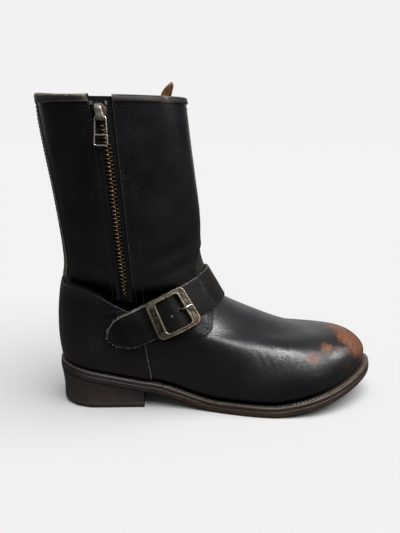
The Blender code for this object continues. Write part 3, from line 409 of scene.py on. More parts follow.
def soleUnder(x):
    x = np.asarray(x, float)
    spring = np.clip((x - sole["flatFront"]) / (sole["tip"] - sole["flatFront"]), 0, None) ** sole["curl"]
    run = sole["flatBack"] - sole["breast"]
    s = np.clip((sole["flatBack"] - x) / run, 0, 1)
    waist = (3 * s**2 - 2 * s**3) * sole["breastHigh"] + (s**3 - s**2) * sole["waistSlope"] * run
    return sole["spring"] * spring + waist + sole["heelSlope"] * np.clip(sole["breast"] - x, 0, None)


def soleTop(x):
    return soleUnder(x) + sole["outsole"] + sole["welt"] + 2 * gap


def roundEnd(share):
    return np.sqrt(1 - (1 - np.clip(share, 0, 1)) ** 2)


def ringAt(row, turn):
    turn = np.atleast_1d(np.asarray(turn, float))
    t = 0.5 * (1 - np.cos(turn))
    x = row["backX"] + t * (row["frontX"] - row["backX"])
    widths = np.array([row[key] for key in ("heelW", "heelW", "midW", "ballW", "toeW")])
    half = splineAt(widthShares, widths.reshape(len(widthShares), -1), t).T
    half = half * roundEnd((x - row["backX"]) / row["backCap"])
    half = half * roundEnd((row["frontX"] - x) / row["frontCap"])
    bow = 8 * row["midY"] - row["frontY"]
    y = bow * t**2 + (row["frontY"] - bow) * t**3 - np.sign(np.sin(turn)) * half
    wave = soleTop(x) - (1 - t) * soleTop(row["backX"]) - t * soleTop(row["frontX"])
    z = (1 - t) * row["backZ"] + t * row["frontZ"] + row["follow"] * wave
    return np.stack(np.broadcast_arrays(x, y, z), axis=-1)


ringTable = {key: np.array(column)[:, None] for key, column in zip(ringKeys, zip(*ringRows))}
for end in ("back", "front"):
    ringTable[end + "Z"][0] = soleTop(ringTable[end + "X"][0])
feather = {key: float(column[0, 0]) for key, column in ringTable.items()}
ringPoints = ringAt(ringTable, circle(24))
ringGaps = np.linalg.norm(np.diff(ringPoints, axis=0), axis=2).mean(axis=1)
knots = tuple(np.concatenate([[0.0], np.cumsum(ringGaps)]) / ringGaps.sum())


def surfaceAt(turns, v):
    return splineAt(knots, ringAt(ringTable, turns), [v])[0]


def frameAt(turns, v, step=2e-3):
    turns = np.atleast_1d(np.asarray(turns, float))
    along = surfaceAt(turns + step, v) - surfaceAt(turns - step, v)
    up = surfaceAt(turns, v + step) - surfaceAt(turns, v - step)
    stretch = np.linalg.norm(along, axis=1) / (2 * step)
    normal, along, up = map(unit, (np.cross(along, up), along, up))
    return surfaceAt(turns, v), normal, along, up, stretch


def findV(turn, z):
    places = np.linspace(0, 1, 161)
    return float(np.interp(z, [surfaceAt(turn, v)[0, 2] for v in places], places))


# the zip's line on the outer side, and its slot
zipLine = {"x": 10.0, "lean": 0.077, "swing": 4.6, "swingRun": 55.0, "footZ": 105.0, "slotRear": 8.0,
           "slotFront": 8.0, "flare": 4.0, "flareRun": 40.0}


def zipX(z):
    return zipLine["x"] + zipLine["lean"] * (collarZ - z)


def zipSwing(z):
    # the zip's top end swings back inside its slot
    return zipLine["swing"] * np.clip(1 - (collarZ - z) / zipLine["swingRun"], 0, 1) ** 1.5


zipPlaces = np.linspace(-0.03, 1.01, 210)
zipTurns = []
for v in zipPlaces:
    scan = np.linspace(0.4, 2.6, 80)
    points = surfaceAt(scan, v)
    zipTurns.append(np.interp(0, points[:, 0] - (zipX(points[:, 2]) - zipSwing(points[:, 2])), scan))


def zipTurn(v):
    return float(np.interp(v, zipPlaces, zipTurns))


upperPlaces = np.linspace(0.3, 1, 141)
upperHeights = [surfaceAt(zipTurn(v), v)[0, 2] for v in upperPlaces]
zipFootV = float(np.interp(zipLine["footZ"], upperHeights, upperPlaces))


def slotTurns(v, beyondRear=0.0, beyondFront=0.0):
    here, _, _, _, stretch = frameAt(zipTurn(v), v)
    flare = zipLine["flare"] * max(0.0, 1 - (collarZ - here[0, 2]) / zipLine["flareRun"])
    swing = float(zipSwing(here[0, 2]))
    return (zipTurn(v) - (zipLine["slotRear"] + flare - swing + beyondRear) / stretch[0],
            zipTurn(v) + (zipLine["slotFront"] + swing + beyondFront) / stretch[0])


# soft folds and creases: side-view path, half width, depth, rim height,
# and -1 for the outer side or 1 for the inner
creases = [
    (((84, 160), (68, 149), (50, 139), (36, 135)), 5.0, 0.55, 0.25, -1),
    (((85, 140), (72, 133), (55, 127), (40, 124)), 4.0, 0.5, 0.2, -1),
    (((-31, 124), (-18, 119), (-4, 115), (8, 111), (18, 107)), 6.0, 2.0, 1.0, -1),
    (((9, 99), (16, 95.5), (24, 92)), 5.0, -1.1, -0.2, -1),
    (((60, 250), (56, 215), (50, 180)), 12.0, 0.9, 0.3, -1),
    (((84, 158), (60, 150), (36, 140), (10, 136)), 5.0, 1.1, 0.6, 1),
    (((85, 138), (60, 129), (30, 124), (0, 125), (-25, 130)), 5.0, 1.1, 0.6, 1),
    (((20, 245), (26, 210), (30, 175)), 14.0, 1.0, 0.3, 1),
]
for k in range(11):  # fine wrinkles across the bend of the vamp
    x, top = 138 + 5 * k, 63 - 0.35 * k + 3 * math.sin(2.3 * k)
    creases.append((((x, top), (x + 5, top - 9), (x + 8, top - 17), (x + 8, top - 26)),
                    1.5 + 0.3 * math.sin(k), 0.13 + 0.06 * math.cos(1.7 * k), 0.06, -1))
    creases.append((((x + 2, top + 1), (x + 6, top - 8), (x + 8, top - 20)),
                    1.6, 0.3 + 0.1 * math.sin(1.3 * k), 0.14, 1))


def toSegment(x, z, start, end):
    # distance to a side-view segment, and how far along it the nearest point lies
    (ax, az), (bx, bz) = start, end
    share = np.clip(((x - ax) * (bx - ax) + (z - az) * (bz - az)) / ((bx - ax) ** 2 + (bz - az) ** 2), 0, 1)
    return np.hypot(x - ax - share * (bx - ax), z - az - share * (bz - az)), share


def creaseShift(points):
    x, y, z = np.moveaxis(points, -1, 0)
    shift = np.zeros(x.shape)
    for path, width, depth, rim, side in creases:
        runs = runOf(path)
        nearest, along = np.full(x.shape, 1e9), np.zeros(x.shape)
        for k in range(len(path) - 1):
            away, share = toSegment(x, z, path[k], path[k + 1])
            closer = away < nearest
            nearest = np.where(closer, away, nearest)
            along = np.where(closer, (runs[k] + share * (runs[k + 1] - runs[k])) / runs[-1], along)
        shape = rim * np.exp(-((nearest - 2.1 * width) / (1.1 * width)) ** 2)
        shape -= depth * np.exp(-((nearest / width) ** 2))
        onSide = 1 / (1 + np.exp(np.clip(-side * y / 4, -40, 40)))
        shift += onSide * shape * np.sin(math.pi * np.clip(along, 0.02, 0.98)) ** 0.6
    # none beside the zip, at the collar or at the sole
    besideZip = np.where((y < 0) & (z > 95), ramp(np.abs(x - zipX(z)), 11, 21), 1.0)
    return shift * besideZip * ramp(z, 268, 248) * ramp(z - soleTop(x), 2, 10)


def leatherGrid(rows, rear, front, inner, slot=8):
    points, normals = [], []
    for v in rows:
        rearEdge, frontEdge = slotTurns(v)
        turns = np.concatenate([np.linspace(0, rearEdge, rear + 1),
                                np.linspace(rearEdge, frontEdge, slot + 1)[1:-1],
                                np.linspace(frontEdge, math.pi, front + 1),
                                np.linspace(math.pi, fullTurn, inner + 1)[1:-1]])
        here, normal = frameAt(turns, v)[:2]
        points.append(here)
        normals.append(normal)
    points, normals = np.array(points), np.array(normals)
    points = points + creaseShift(points)[..., None] * normals
    along = np.roll(points, -1, axis=1) - np.roll(points, 1, axis=1)
    normals = unit(np.cross(along, np.gradient(points, axis=0)))
    return {"points": points, "normals": normals, "rows": np.asarray(rows), "slot": (rear, rear + slot)}


def gridCells(grid):
    rows, columns = grid["points"].shape[:2]
    cells = np.array(stripFaces(rows, columns, False, True)).reshape(rows - 1, columns, 4)
    keep = np.ones((rows - 1, columns), bool)
    first, last = grid["slot"]
    keep[grid["rows"][:-1] >= zipFootV - 1e-6, first:last] = False
    return cells[keep]


def slotDistance(grid):
    points, (first, last) = grid["points"], grid["slot"]
    foot = int(np.argmax(grid["rows"] >= zipFootV - 1e-6))
    beside = np.maximum(np.arange(len(points)), foot)
    away = np.minimum(*(np.linalg.norm(points - points[beside, k][:, None], axis=2) for k in (first, last)))
    below = np.linalg.norm(points - points[foot][None], axis=2)
    away[:foot + 1, first:last + 1] = np.minimum(away, below)[:foot + 1, first:last + 1]
    return away


def outlineDistance(points, outline):
    # below zero inside the outline
    x, z = points[..., 0], points[..., 2]
    nearest, inside = np.full(x.shape, 1e9), np.zeros(x.shape, bool)
    for (ax, az), (bx, bz) in zip(outline, np.roll(outline, -1, axis=0)):
        nearest = np.minimum(nearest, toSegment(x, z, (ax, az), (bx, bz))[0])
        if az != bz:
            inside ^= ((az > z) != (bz > z)) & (x < ax + (z - az) * (bx - ax) / (bz - az))
    return np.where(inside, -nearest, nearest)


def cutCells(cells, places, normals, value, levels):
    # keeps what lies inside the first level and splits cells along the others
    corner = value[cells]
    whole = (corner <= levels[-1]).all(axis=1)
    mixed = ~whole & (corner < 0).any(axis=1)
    faces = cells[whole].tolist()
    places, normals, value = places.tolist(), normals.tolist(), value.tolist()
    made = {}

    def between(a, b, level):
        key = (min(a, b), max(a, b), level)
        if key not in made:
            t = (level - value[a]) / (value[b] - value[a])
            for store in (places, normals):
                store.append([p + t * (q - p) for p, q in zip(store[a], store[b])])
            value.append(level)
            made[key] = len(places) - 1
        return made[key]

    for cell in cells[mixed].tolist():
        parts = [cell]
        for level in levels:
            cut = []
            for part in parts:
                low, high = [], []
                for a, b in zip(part, part[1:] + part[:1]):
                    (low if value[a] <= level else high).append(a)
                    if (value[a] <= level) != (value[b] <= level):
                        middle = between(a, b, level)
                        low.append(middle)
                        high.append(middle)
                cut.append(low)
                if level < 0:
                    cut.append(high)
            parts = [part for part in cut if len(set(part)) > 2]
        faces.extend([part[:1] + [b for a, b in zip(part, part[1:]) if a != b] for part in parts])
    return np.array(places), np.array(normals), np.array(value), faces


def shellPiece(name, grid, value, outer, thick, rounding, material, rubOf=None, liftOf=None, **options):
    levels = (0.0, -0.6, -1.4)  # cuts along the panel's edge, so that it can be rounded
    places, normals, value, faces = cutCells(gridCells(grid), grid["points"].reshape(-1, 3),
                                             grid["normals"].reshape(-1, 3), value.ravel(), levels)
    used = np.unique(np.concatenate([np.asarray(f) for f in faces]))
    lookup = np.full(len(places), -1)
    lookup[used] = np.arange(len(used))
    faces = [lookup[f].tolist() for f in faces]
    places, normals, value = places[used], normals[used], value[used]
    if liftOf:
        places = places + normals * liftOf(places, value)[:, None]
    bevel = np.clip(1 + value / rounding, 0, 1) if rounding else np.zeros(len(value))
    top = places + normals * (outer - min(rounding, 0.8 * thick) * (1 - np.sqrt(1 - bevel**2)))[:, None]
    low = places + normals * (outer - thick)
    count = len(places)
    directed = set()
    for face in faces:
        directed.update(zip(face, face[1:] + face[:1]))
    rim = [(b, a, a + count, b + count) for a, b in directed if (b, a) not in directed]
    solid = faces + [[i + count for i in reversed(face)] for face in faces] + [list(f) for f in rim]
    edge = np.concatenate([np.clip(1 + value / 1.6, 0, 1), np.where(value > -0.05, 1.0, 0.0)])
    if rubOf:
        edge *= np.tile(rubOf(places), 2)
    fields = options.pop("fields", {})
    marks = {"edge": edge, **{key: np.tile(fill(places), 2) for key, fill in fields.items()}}
    piece = pieceOf(name, np.concatenate([top, low]), solid, material, marks=marks, repair=False, **options)
    return piece, BVHTree.FromPolygons(top.tolist(), faces)


def dustField(points):
    # street dust above the sole at the back half, and on the tongue
    x, z = points[:, 0], points[:, 2]
    foot = 0.8 * ramp(z - soleTop(x), 60, 0) ** 1.3 * ramp(x, 165, 95)
    return np.maximum(foot, ramp(x, 80, 84) * ramp(z, 108, 116))


def soleShade(points):
    # painted shade: the crease where the upper meets the sole is painted near black
    x, z = points[:, 0], points[:, 2]
    return ramp(z - soleTop(x), 4.4, 2.8) * ramp(x, 246, 206, 0.3)


def legDust(points):
    # olive cast on the lower half of the leg
    return 0.6 * ramp(points[:, 2], 215, 105) * ramp(points[:, 2], 88, 113, 0.3)


def legFoldShade(points):
    # painted shade in the folds above the counter and behind the strap
    path = ((-24, 119), (-8, 116.5), (4, 113.5), (14, 110), (24, 106.5), (33, 105.5), (42, 107), (54, 110.5),
            (66, 114.5))
    sizes = (3.5, 5.5, 7.5, 10, 11.5, 11.5, 10.5, 8, 4.5)
    fold = np.zeros(len(points))
    for k in range(len(path) - 1):
        for share in np.linspace(0, 1, 5):
            x, z = (path[k][i] + share * (path[k + 1][i] - path[k][i]) for i in (0, 1))
            size = sizes[k] + share * (sizes[k + 1] - sizes[k])
            fold = np.maximum(fold, np.exp(-((np.hypot(points[:, 0] - x, points[:, 2] - z) / size) ** 3)))
    return fold * ramp(points[:, 1], 0, -6, 0.4)


def shaftRub(points):
    # pale along the zip's front edge and the lower front corner, dark behind the zip and at its foot
    x, y, z = points.T
    nearZip = (y < 0) & (np.abs(x - zipX(z)) < 16) & (z > 98)
    return np.where(nearZip, np.where((x > zipX(z) + 3) & (z > 112), 1.0, np.where(z > 256, 0.62, 0.2)), 1.0)


def flexField(points):
    # fine upright wrinkles on the bend of the vamp, strongest on its shoulder
    x, z = points[:, 0], points[:, 2]
    bend = np.exp(-((x - 162) / 34) ** 2) * np.exp(-((z - 50) / 17) ** 2)
    return np.clip(bend, 0, 1) + 0.35 * np.exp(-((x - 130) / 18) ** 2) * np.exp(-((z - 68) / 14) ** 2)


def toeField(points):
    # rubbed-through places on the toe, larger at its tip and spotted behind
    wear = np.zeros(len(points))
    spots = (  # place, size and strength
        (231, -8, 59, 15, 0.95), (241, -3, 53, 18, 1.0), (239, -13, 49, 11, 0.85), (226, 8, 63.5, 15, 0.8),
        (217, 6, 65.3, 10, 0.55), (238, 18, 56, 16, 0.8), (226, 28, 59, 10, 0.55), (205, -30.5, 56, 7, 0.8),
        (209.5, -27.5, 56.3, 5, 0.7), (192, -41, 51, 7.5, 0.8), (187.5, -42.5, 51, 4.5, 0.6),
        (199, -36, 54, 5, 0.4), (212, -31, 53, 8, 0.42), (217, -27.4, 54, 7, 0.42), (226, -22, 51, 9, 0.5),
        (233, -19, 46, 8, 0.45), (217, -32, 46, 9, 0.36), (228, -28, 38, 9, 0.36), (195, -47, 37.5, 5, 0.4),
        (198, -44.5, 40, 4, 0.4), (212, 44, 50, 8, 0.6), (200, 48, 46, 4, 0.5))
    for *centre, size, strength in spots:
        away = np.linalg.norm(points - np.array(centre), axis=1)
        wear = np.maximum(wear, strength * np.exp(-((away / size) ** 1.8)))
    return wear


upperRows = np.concatenate([np.linspace(0.0, 0.52, 96), np.linspace(0.52, 1.0, 52)[1:]])
upperRows[np.argmin(np.abs(upperRows - zipFootV))] = zipFootV
upperGrid = leatherGrid(upperRows, 34, 150, 112)
allIn = np.full(upperGrid["points"].shape[:2], -50.0)
upperFields = {"dust": dustField, "wear": toeField, "flex": flexField, "paintedShade": soleShade}
upper, upperTree = shellPiece("upperShell", upperGrid, allIn, 0.0, wall, 0.0, vampLeather, node="upper",
                              slot="leather", fields=upperFields)
upper.data.materials.append(liningLeather)  # for the faces inside
insideFaces = np.zeros(len(upper.data.polygons), np.int32)
outerCount = len(gridCells(upperGrid))
insideFaces[outerCount:2 * outerCount] = 1
upper.data.polygons.foreach_set("material_index", insideFaces)

shaftOutline = roundedOutline((
    (-120.0, 400.0, 0.0), (140.0, 400.0, 0.0), (140.0, 151.5, 0.0), (91.0, 151.5, 3.0),
    (86.5, 136.0, 8.0), (86.5, 123.0, 10.0), (103.0, 94.0, 10.0), (101.0, 72.5, 13.0),
    (83.0, 69.5, 20.0), (42.0, 63.5, 4.0), (38.0, -20.0, 0.0), (-120.0, -20.0, 0.0)))
counterOutline = roundedOutline((
    (-120.0, -20.0, 0.0), (51.0, -20.0, 0.0), (45.3, 32.0, 20.0), (36.5, 91.0, 9.0),
    (2.0, 108.0, 50.0), (-32.5, 114.8, 3.0), (-35.5, 121.0, 3.0), (-120.0, 121.0, 0.0)))
shaftRows = np.linspace(0.012, 1.0, 178)
shaftRows[np.argmin(np.abs(shaftRows - zipFootV))] = zipFootV
shaftGrid = leatherGrid(shaftRows, 54, 92, 128)
shaftValue = np.maximum(outlineDistance(shaftGrid["points"], shaftOutline), -slotDistance(shaftGrid))
shaftTree = shellPiece("legPanels", shaftGrid, shaftValue, shaftOut, shaftThick, 0.9, shaftLeather, shaftRub,
                       node="shaft", slot="leather", fields={"dust": legDust, "paintedShade": legFoldShade})[1]
counterGrid = leatherGrid(np.linspace(0.012, 0.5, 84), 54, 92, 128)


def counterRub(points):
    # the front edge is rubbed pale, the top edge only a little
    return np.clip(0.45 + (points[:, 0] - 24) / 14, 0.45, 1)


def counterLift(points, value):
    # the top edge stands off the leg
    x, z = points[:, 0], points[:, 2]
    return 1.5 * np.exp(value / 5) * ramp(z, 84, 94) * ramp(x, -30, -18)


counterValue = outlineDistance(counterGrid["points"], counterOutline)
counterTree = shellPiece("heelCounter", counterGrid, counterValue, counterOut, counterThick, 0.9,
                         counterLeather, counterRub, counterLift, node="counter", slot="counter_leather",
                         fields={"dust": dustField, "paintedShade": soleShade})[1]
print("leather made")


def grown(margin):
    row = dict(feather)
    row["backX"] -= margin
    row["frontX"] += margin
    for key in ("heelW", "midW", "ballW", "toeW", "backCap", "frontCap"):
        row[key] += margin
    return row


def soleEdge(trim=0.0):
    row = grown(sole["margin"] - trim)
    row["backX"] = sole["back"] + trim
    row["frontX"] = sole["tip"] - trim
    return row


def soleLoop(row, turns, height, draw=0.0):
    points = ringAt(row, turns)[0].copy()
    mirror = ringAt(row, fullTurn - turns)[0]
    points[:, 1] += draw * 0.5 * (mirror[:, 1] - points[:, 1])
    points[:, 2] = soleUnder(points[:, 0]) + height
    return points


def turnAtX(row, x):
    return math.acos(1 - 2 * (x - row["backX"]) / (row["frontX"] - row["backX"]))


def plateLoops(edgeRow, side, turns):
    # side: trim and height up the edge; the plate closes over the middle at both ends
    draws = (1.0, 0.7, 0.4, 0.15)
    loops = [soleLoop(edgeRow(side[0][0]), turns, side[0][1], draw) for draw in draws]
    loops += [soleLoop(edgeRow(trim), turns, height) for trim, height in side]
    return loops + [soleLoop(edgeRow(side[-1][0]), turns, side[-1][1], draw) for draw in draws[::-1]]


def platePiece(name, loops, material, **options):
    faces = stripFaces(len(loops), len(loops[0]), False, True)
    pieceOf(name, np.concatenate(loops), faces, material, weld=0.005, **options)


allTurns = circle(400)
outsoleSide = ((1.5, 0.0), (0.6, 0.25), (0.15, 0.8), (0.0, 1.8), (0.0, 2.9), (0.0, 4.0), (0.0, 5.2),
               (0.12, 5.55), (0.4, 5.7))
outsoleRub = np.repeat([0, 0, 0, 0, 0.5, 0.5, 0.2, 0, 0, 0, 0.1, 0.15, 0.1, 0, 0, 0, 0], len(allTurns))
loops = plateLoops(soleEdge, outsoleSide, allTurns)
blackened = ramp(np.concatenate(loops)[:, 0], 62, 48)  # the waist and heel are dyed black
platePiece("outsolePlate", loops, soleLeather, node="outsole", slot="sole_leather",
           marks={"edge": outsoleRub * (1 - blackened), "black": blackened})
weltLow = sole["outsole"] + gap
weltHigh = weltLow + sole["welt"]
insoleSide = ((0.6, weltLow), (0.0, weltLow + 0.6), (0.0, weltLow + 5.6), (0.8, weltLow + sole["insole"]))
loops = plateLoops(lambda trim: grown(-sole["insoleInset"] - trim), insoleSide, allTurns[::2])
platePiece("insoleBoard", loops, liningLeather, node="insole", slot="insole_leather")


def edgeStrip(name, node, turns, trim, material, slot, groove):
    inside = grown(-sole["weltInset"])
    high, low = weltHigh, weltLow
    side = [(trim + 0.3, low, 0), (trim + 0.06, low + 0.15, 0), (trim, low + 1.0, 0), (trim, low + 2.4, 0.1),
            (trim + 0.1, high - 0.7, 0.3), (trim + 0.4, high - 0.2, 0.8), (trim + 1.1, high, 0.5)]
    if groove:
        side += [(trim + 2.0, high, 0.05), (trim + 2.6, high - 0.35, 0), (trim + 3.2, high, 0.0)]
    loops = [soleLoop(inside, turns, low)] + [soleLoop(soleEdge(t), turns, h) for t, h, _ in side]
    loops.append(soleLoop(inside, turns, high))
    edge = [0, *[m for _, _, m in side], 0]
    sections = np.array(loops).transpose(1, 0, 2)
    ledgeShade = np.zeros(sections.shape[:2])
    ledgeShade[:, 7:10] = 0.3
    ledgeShade[:, 10:] = 1.0  # painted shade on the ledge beside the upper
    ledgeShade *= ramp(sections[..., 0], 212, 172, 0.1)
    loftPiece(name, sections, material, node=node, slot=slot,
              marks={"edge": np.tile(edge, len(turns)), "paintedShade": ledgeShade.ravel(),
                     "black": np.full(ledgeShade.size, 0.0 if groove else 0.8)})


split = turnAtX(soleEdge(), sole["weltBack"])
edgeStrip("weltStrip", "welt", np.linspace(split + 0.003, fullTurn - split - 0.003, 300), 0.5, soleLeather,
          "sole_leather", True)
edgeStrip("heelRandStrip", "heel_rand", np.linspace(-split + 0.003, split - 0.003, 150), 0.3, heelLeather,
          "heel_leather", False)


def heelLoop(inset, height=None):
    row = soleEdge(inset)
    end = turnAtX(row, sole["breast"])
    points = ringAt(row, np.linspace(-end, end, 90))[0].copy()
    points[:, 2] = soleUnder(points[:, 0]) - gap if height is None else height
    return points


heelMiddle = np.array([12.0, 0.0, 0.0])
heelTop, heelFoot = heelLoop(0.3), heelLoop(sole["taper"], sole["lift"] + gap)
heelRows = []
for share in (0.0, 0.04, 0.12, 0.3, 0.5, 0.7, 0.9, 1.0):
    row = heelFoot + share * (heelTop - heelFoot)
    inward = unit((heelMiddle - row) * (1, 1, 0))
    hollow = 0.8 * math.sin(math.pi * share) * ramp(row[:, 0], sole["breast"], sole["breast"] - 8)
    heelRows.append(row + inward * hollow[:, None])
loftPiece("heelStack", heelRows, heelLeather, node="heel_block", slot="heel_leather")
tread, rim = heelLoop(sole["taper"] + 1.0, 0.0), heelLoop(sole["taper"], 1.0)
worn = sole["wornBack"] * np.clip(1 - (tread[:, 0] - sole["back"]) / 30, 0, None)
tread[:, 0] += worn
rim[:, 2] += worn
treadRows = [tread, rim, heelLoop(sole["taper"], 4.6), heelLoop(sole["taper"], sole["lift"])]
loftPiece("heelTread", treadRows, heelRubber, node="heel_top_piece", slot="top_piece_rubber")
print("sole made")


def spacedOut(path, values, first, pitch):
    # values that belong to a path's points, read at even steps along it
    run = runOf(path)
    at = np.arange(first, run[-1], pitch)
    return np.stack([np.interp(at, run, column) for column in values.T], axis=1)


def stitchPiece(name, rows, material):
    # each row: points, normals, pitch, length, radius, slant
    ringU, ringR, ringH = (np.array(rings)[:, None, None] for rings in (
        (-1.0, -0.75, -0.3, 0.3, 0.75, 1.0), (0.3, 0.8, 1.0, 1.0, 0.8, 0.3),
        (-0.9, 0.05, 0.45, 0.45, 0.05, -0.9)))
    turn = circle(6)[None, :, None]
    stitches = []
    for points, normals, pitch, length, radius, slant in rows:
        centres = spacedOut(points, points, pitch / 2, pitch)
        up = unit(spacedOut(points, normals, pitch / 2, pitch))
        along = np.gradient(centres, axis=0)
        along = unit(along - up * (along * up).sum(axis=1)[:, None])
        lean = (slant + 0.08 * rng.standard_normal(len(centres)))[:, None]
        run = np.cos(lean) * along + np.sin(lean) * np.cross(up, along)
        for centre, a, s, u in zip(centres, run, np.cross(up, run), up):
            stitches.append(centre + ringU * 0.5 * length * a + ringH * radius * u
                            + ringR * radius * (np.cos(turn) * s + np.sin(turn) * u))
    pieceOf(name, *joined(stitches), material, repair=False)


def onPanel(tree, path, side):
    # lifts a side-view path onto a panel's outer face
    points, normals = [], []
    for x, z in path:
        hit = tree.ray_cast(Vector((x, side * 200, z)), Vector((0, -side, 0)), 200)
        if hit[0] is not None:
            points.append(tuple(hit[0]))
            normals.append(tuple(hit[1]))
    return np.array(points), np.array(normals)


def insetPath(outline, inset, first, last):
    # part of an outline, moved in by a distance; first and last are points near its ends
    ahead = unit(np.roll(outline, -1, axis=0) - np.roll(outline, 1, axis=0))
    area = np.sum(outline[:, 0] * np.roll(outline[:, 1], -1) - np.roll(outline[:, 0], -1) * outline[:, 1])
    moved = outline + inset * np.stack([-ahead[:, 1], ahead[:, 0]], axis=1) * np.sign(area)
    i, k = sorted(int(np.argmin(np.linalg.norm(outline - np.array(p), axis=1))) for p in (first, last))
    return spacedOut(moved[i:k + 1], moved[i:k + 1], 0, 0.8)


seam = {"pitch": 3.0, "length": 2.5, "radius": 0.32, "slant": 0.0, "rows": (2.2, 4.6), "slitRow": 2.4,
        "belowCollar": 8.6}
seamRows = []


def addSeam(points, normals, **changes):
    if len(points) > 2:
        look = {**seam, **changes}
        seamRows.append((points, normals, *(look[key] for key in ("pitch", "length", "radius", "slant"))))


for side in (-1, 1):  # the leg's lower corners, its front slit and the counter
    for inset in seam["rows"]:
        addSeam(*onPanel(shaftTree, insetPath(shaftOutline, inset, (95, 108), (50, 64.7)), side))
    addSeam(*onPanel(shaftTree, insetPath(shaftOutline, seam["slitRow"], (92, 151.5), (88, 122)), side))
    for inset in seam["rows"]:
        addSeam(*onPanel(counterTree, insetPath(counterOutline, inset, (47, 24), (-30, 114.3)), side))
for edge, beyond in ((0, 2.4), (1, 8.2), (1, 2.0)):  # beside the zip: one row behind it, two in front
    rows = []
    for v in np.linspace(zipFootV, 0.975, 90):
        here, normal = frameAt(slotTurns(v, beyond, beyond)[edge], v)[:2]
        rows.append((here[0] + shaftOut * normal[0], normal[0]))
    addSeam(*(np.array(part) for part in zip(*rows)))
collarTurns = np.linspace(slotTurns(1.0)[1] + 0.02, slotTurns(1.0)[0] + fullTurn - 0.02, 260)
here, normal, _, up, _ = frameAt(collarTurns, 1.0)
addSeam(here - seam["belowCollar"] * up + shaftOut * normal, normal)
print("seams placed")

# back strip: wide leather over the back seam, sewn along both edges
strip = {"half": 13.0, "thick": 1.2, "low": 122.1, "high": 276.2, "stitchIn": 2.6, "tuck": 14.0}
stripV = np.linspace(findV(0.0, strip["low"]), findV(0.0, strip["high"]), 130)
# section: share of the half width, share of the thickness, rubbing
stripShape = [(-1.0, 0.0, 0.3), (-1.0, 0.6, 0.7), (-0.985, 0.88, 1.0), (-0.95, 1.0, 0.6)]
stripShape += [(w, 1.0 + 0.12 * (1 - w**2), 0.1) for w in np.linspace(-0.86, 0.86, 19)]
stripShape += [(-w, h, m) for w, h, m in stripShape[3::-1]]
stripShape += [(w, 0.0, 0.0) for w in np.linspace(0.9, -0.9, 15)]
stripAcross, stripHigh = np.array([w for w, _, _ in stripShape]), np.array([h for _, h, _ in stripShape])
sections, stripSeams = [], ([], [], [], [])
for v in stripV:
    stretch = frameAt(0.0, v)[4][0]
    here, normal = frameAt(stripAcross * strip["half"] / stretch, v)[:2]
    thick = strip["thick"] * (0.35 + 0.65 * min(1.0, (strip["high"] - here[:, 2].max()) / strip["tuck"]))
    sections.append(here + (shaftOut + gap + thick * stripHigh)[:, None] * normal)
    for k, side in enumerate((-1, 1)):
        here, normal = frameAt(side * (strip["half"] - strip["stitchIn"]) / stretch, v)[:2]
        stripSeams[2 * k].append(here[0] + (shaftOut + gap + 0.98 * thick) * normal[0])
        stripSeams[2 * k + 1].append(normal[0])
loftPiece("backStrip", sections, stripLeather, node="back_strip", slot="leather",
          marks={"edge": np.tile([m for _, _, m in stripShape], len(sections))})
stripSeams = [np.array(part) for part in stripSeams]
cordStitch = (3.4, 2.9, 0.4, 0.25)  # pitch, length, radius, slant
cordRows = [(stripSeams[k], stripSeams[k + 1], *cordStitch) for k in (0, 2)]

# collar binding: narrow leather folded over the edge
binding = {"thick": 1.0, "outLeg": 4.3, "inLeg": 3.2, "flip": 0.8, "backRise": 1.9}
bindIn, bindOut, bindTop = -wall - gap, shaftOut + gap, gap + binding["thick"]
bindShape = [  # out, up and rubbing, round the folded section
    (bindOut, -binding["outLeg"], 0.7), (bindOut + 0.6, -binding["outLeg"] - 0.1, 0.9),
    (bindOut + 1.0, -binding["outLeg"] + 0.6, 0.5), (bindOut + 1.05, -2.6, 0.2), (bindOut + 1.0, -0.6, 0.4),
    (bindOut + 0.7, 0.5, 0.62), (bindOut - 0.3, bindTop - 0.1, 0.66), (-0.2, bindTop + 0.05, 0.55),
    (bindIn + 0.4, bindTop - 0.1, 0.6), (bindIn - 0.7, 0.5, 0.5), (bindIn - 1.0, -0.6, 0.2),
    (bindIn - 1.0, -binding["inLeg"], 0.3), (bindIn, -binding["inLeg"], 0.3), (bindIn, gap, 0),
    (bindOut, gap, 0)]
bindTurns = np.linspace(slotTurns(1.0)[1], slotTurns(1.0)[0] + fullTurn, 320)
here, normal, _, up, _ = frameAt(bindTurns, 1.0)
# the corner behind the zip turns up, and so does the edge at the back
flips = binding["flip"] * np.exp(-np.linalg.norm(here - here[-1], axis=1) / 5)
rises = binding["backRise"] * np.exp(-((here[:, 0] - here[:, 0].min()) / 15) ** 1.3)
sections = [[p + (o + 0.6 * f) * n + (l + f * (0.6 + 0.1 * l) + max(0.0, 1 + l / 4) * r) * u
             for o, l, _ in bindShape] for p, n, u, f, r in zip(here, normal, up, flips, rises)]
atSlot = np.exp(-np.minimum(*(np.linalg.norm(here - here[k], axis=1) for k in (0, -1))) / 6)
torn = ramp(np.abs(here[:, 0] - 60), 9, 0) * (here[:, 1] < 0)  # a worn-through place
rubbed = ramp(here[:, 0], 22, 8, 0.45)  # less rubbed in front of the zip
bindEdge = 0.5 * torn[:, None] + 0.35 * atSlot[:, None] + rubbed[:, None] * [m for _, _, m in bindShape]
loftPiece("collarBinding", sections, bindingLeather, node="collar_binding", slot="binding_leather",
          marks={"edge": bindEdge.ravel()})
addSeam(here + (bindOut + 1.0) * normal - 3.4 * up, normal, pitch=2.8, length=2.3, radius=0.26)

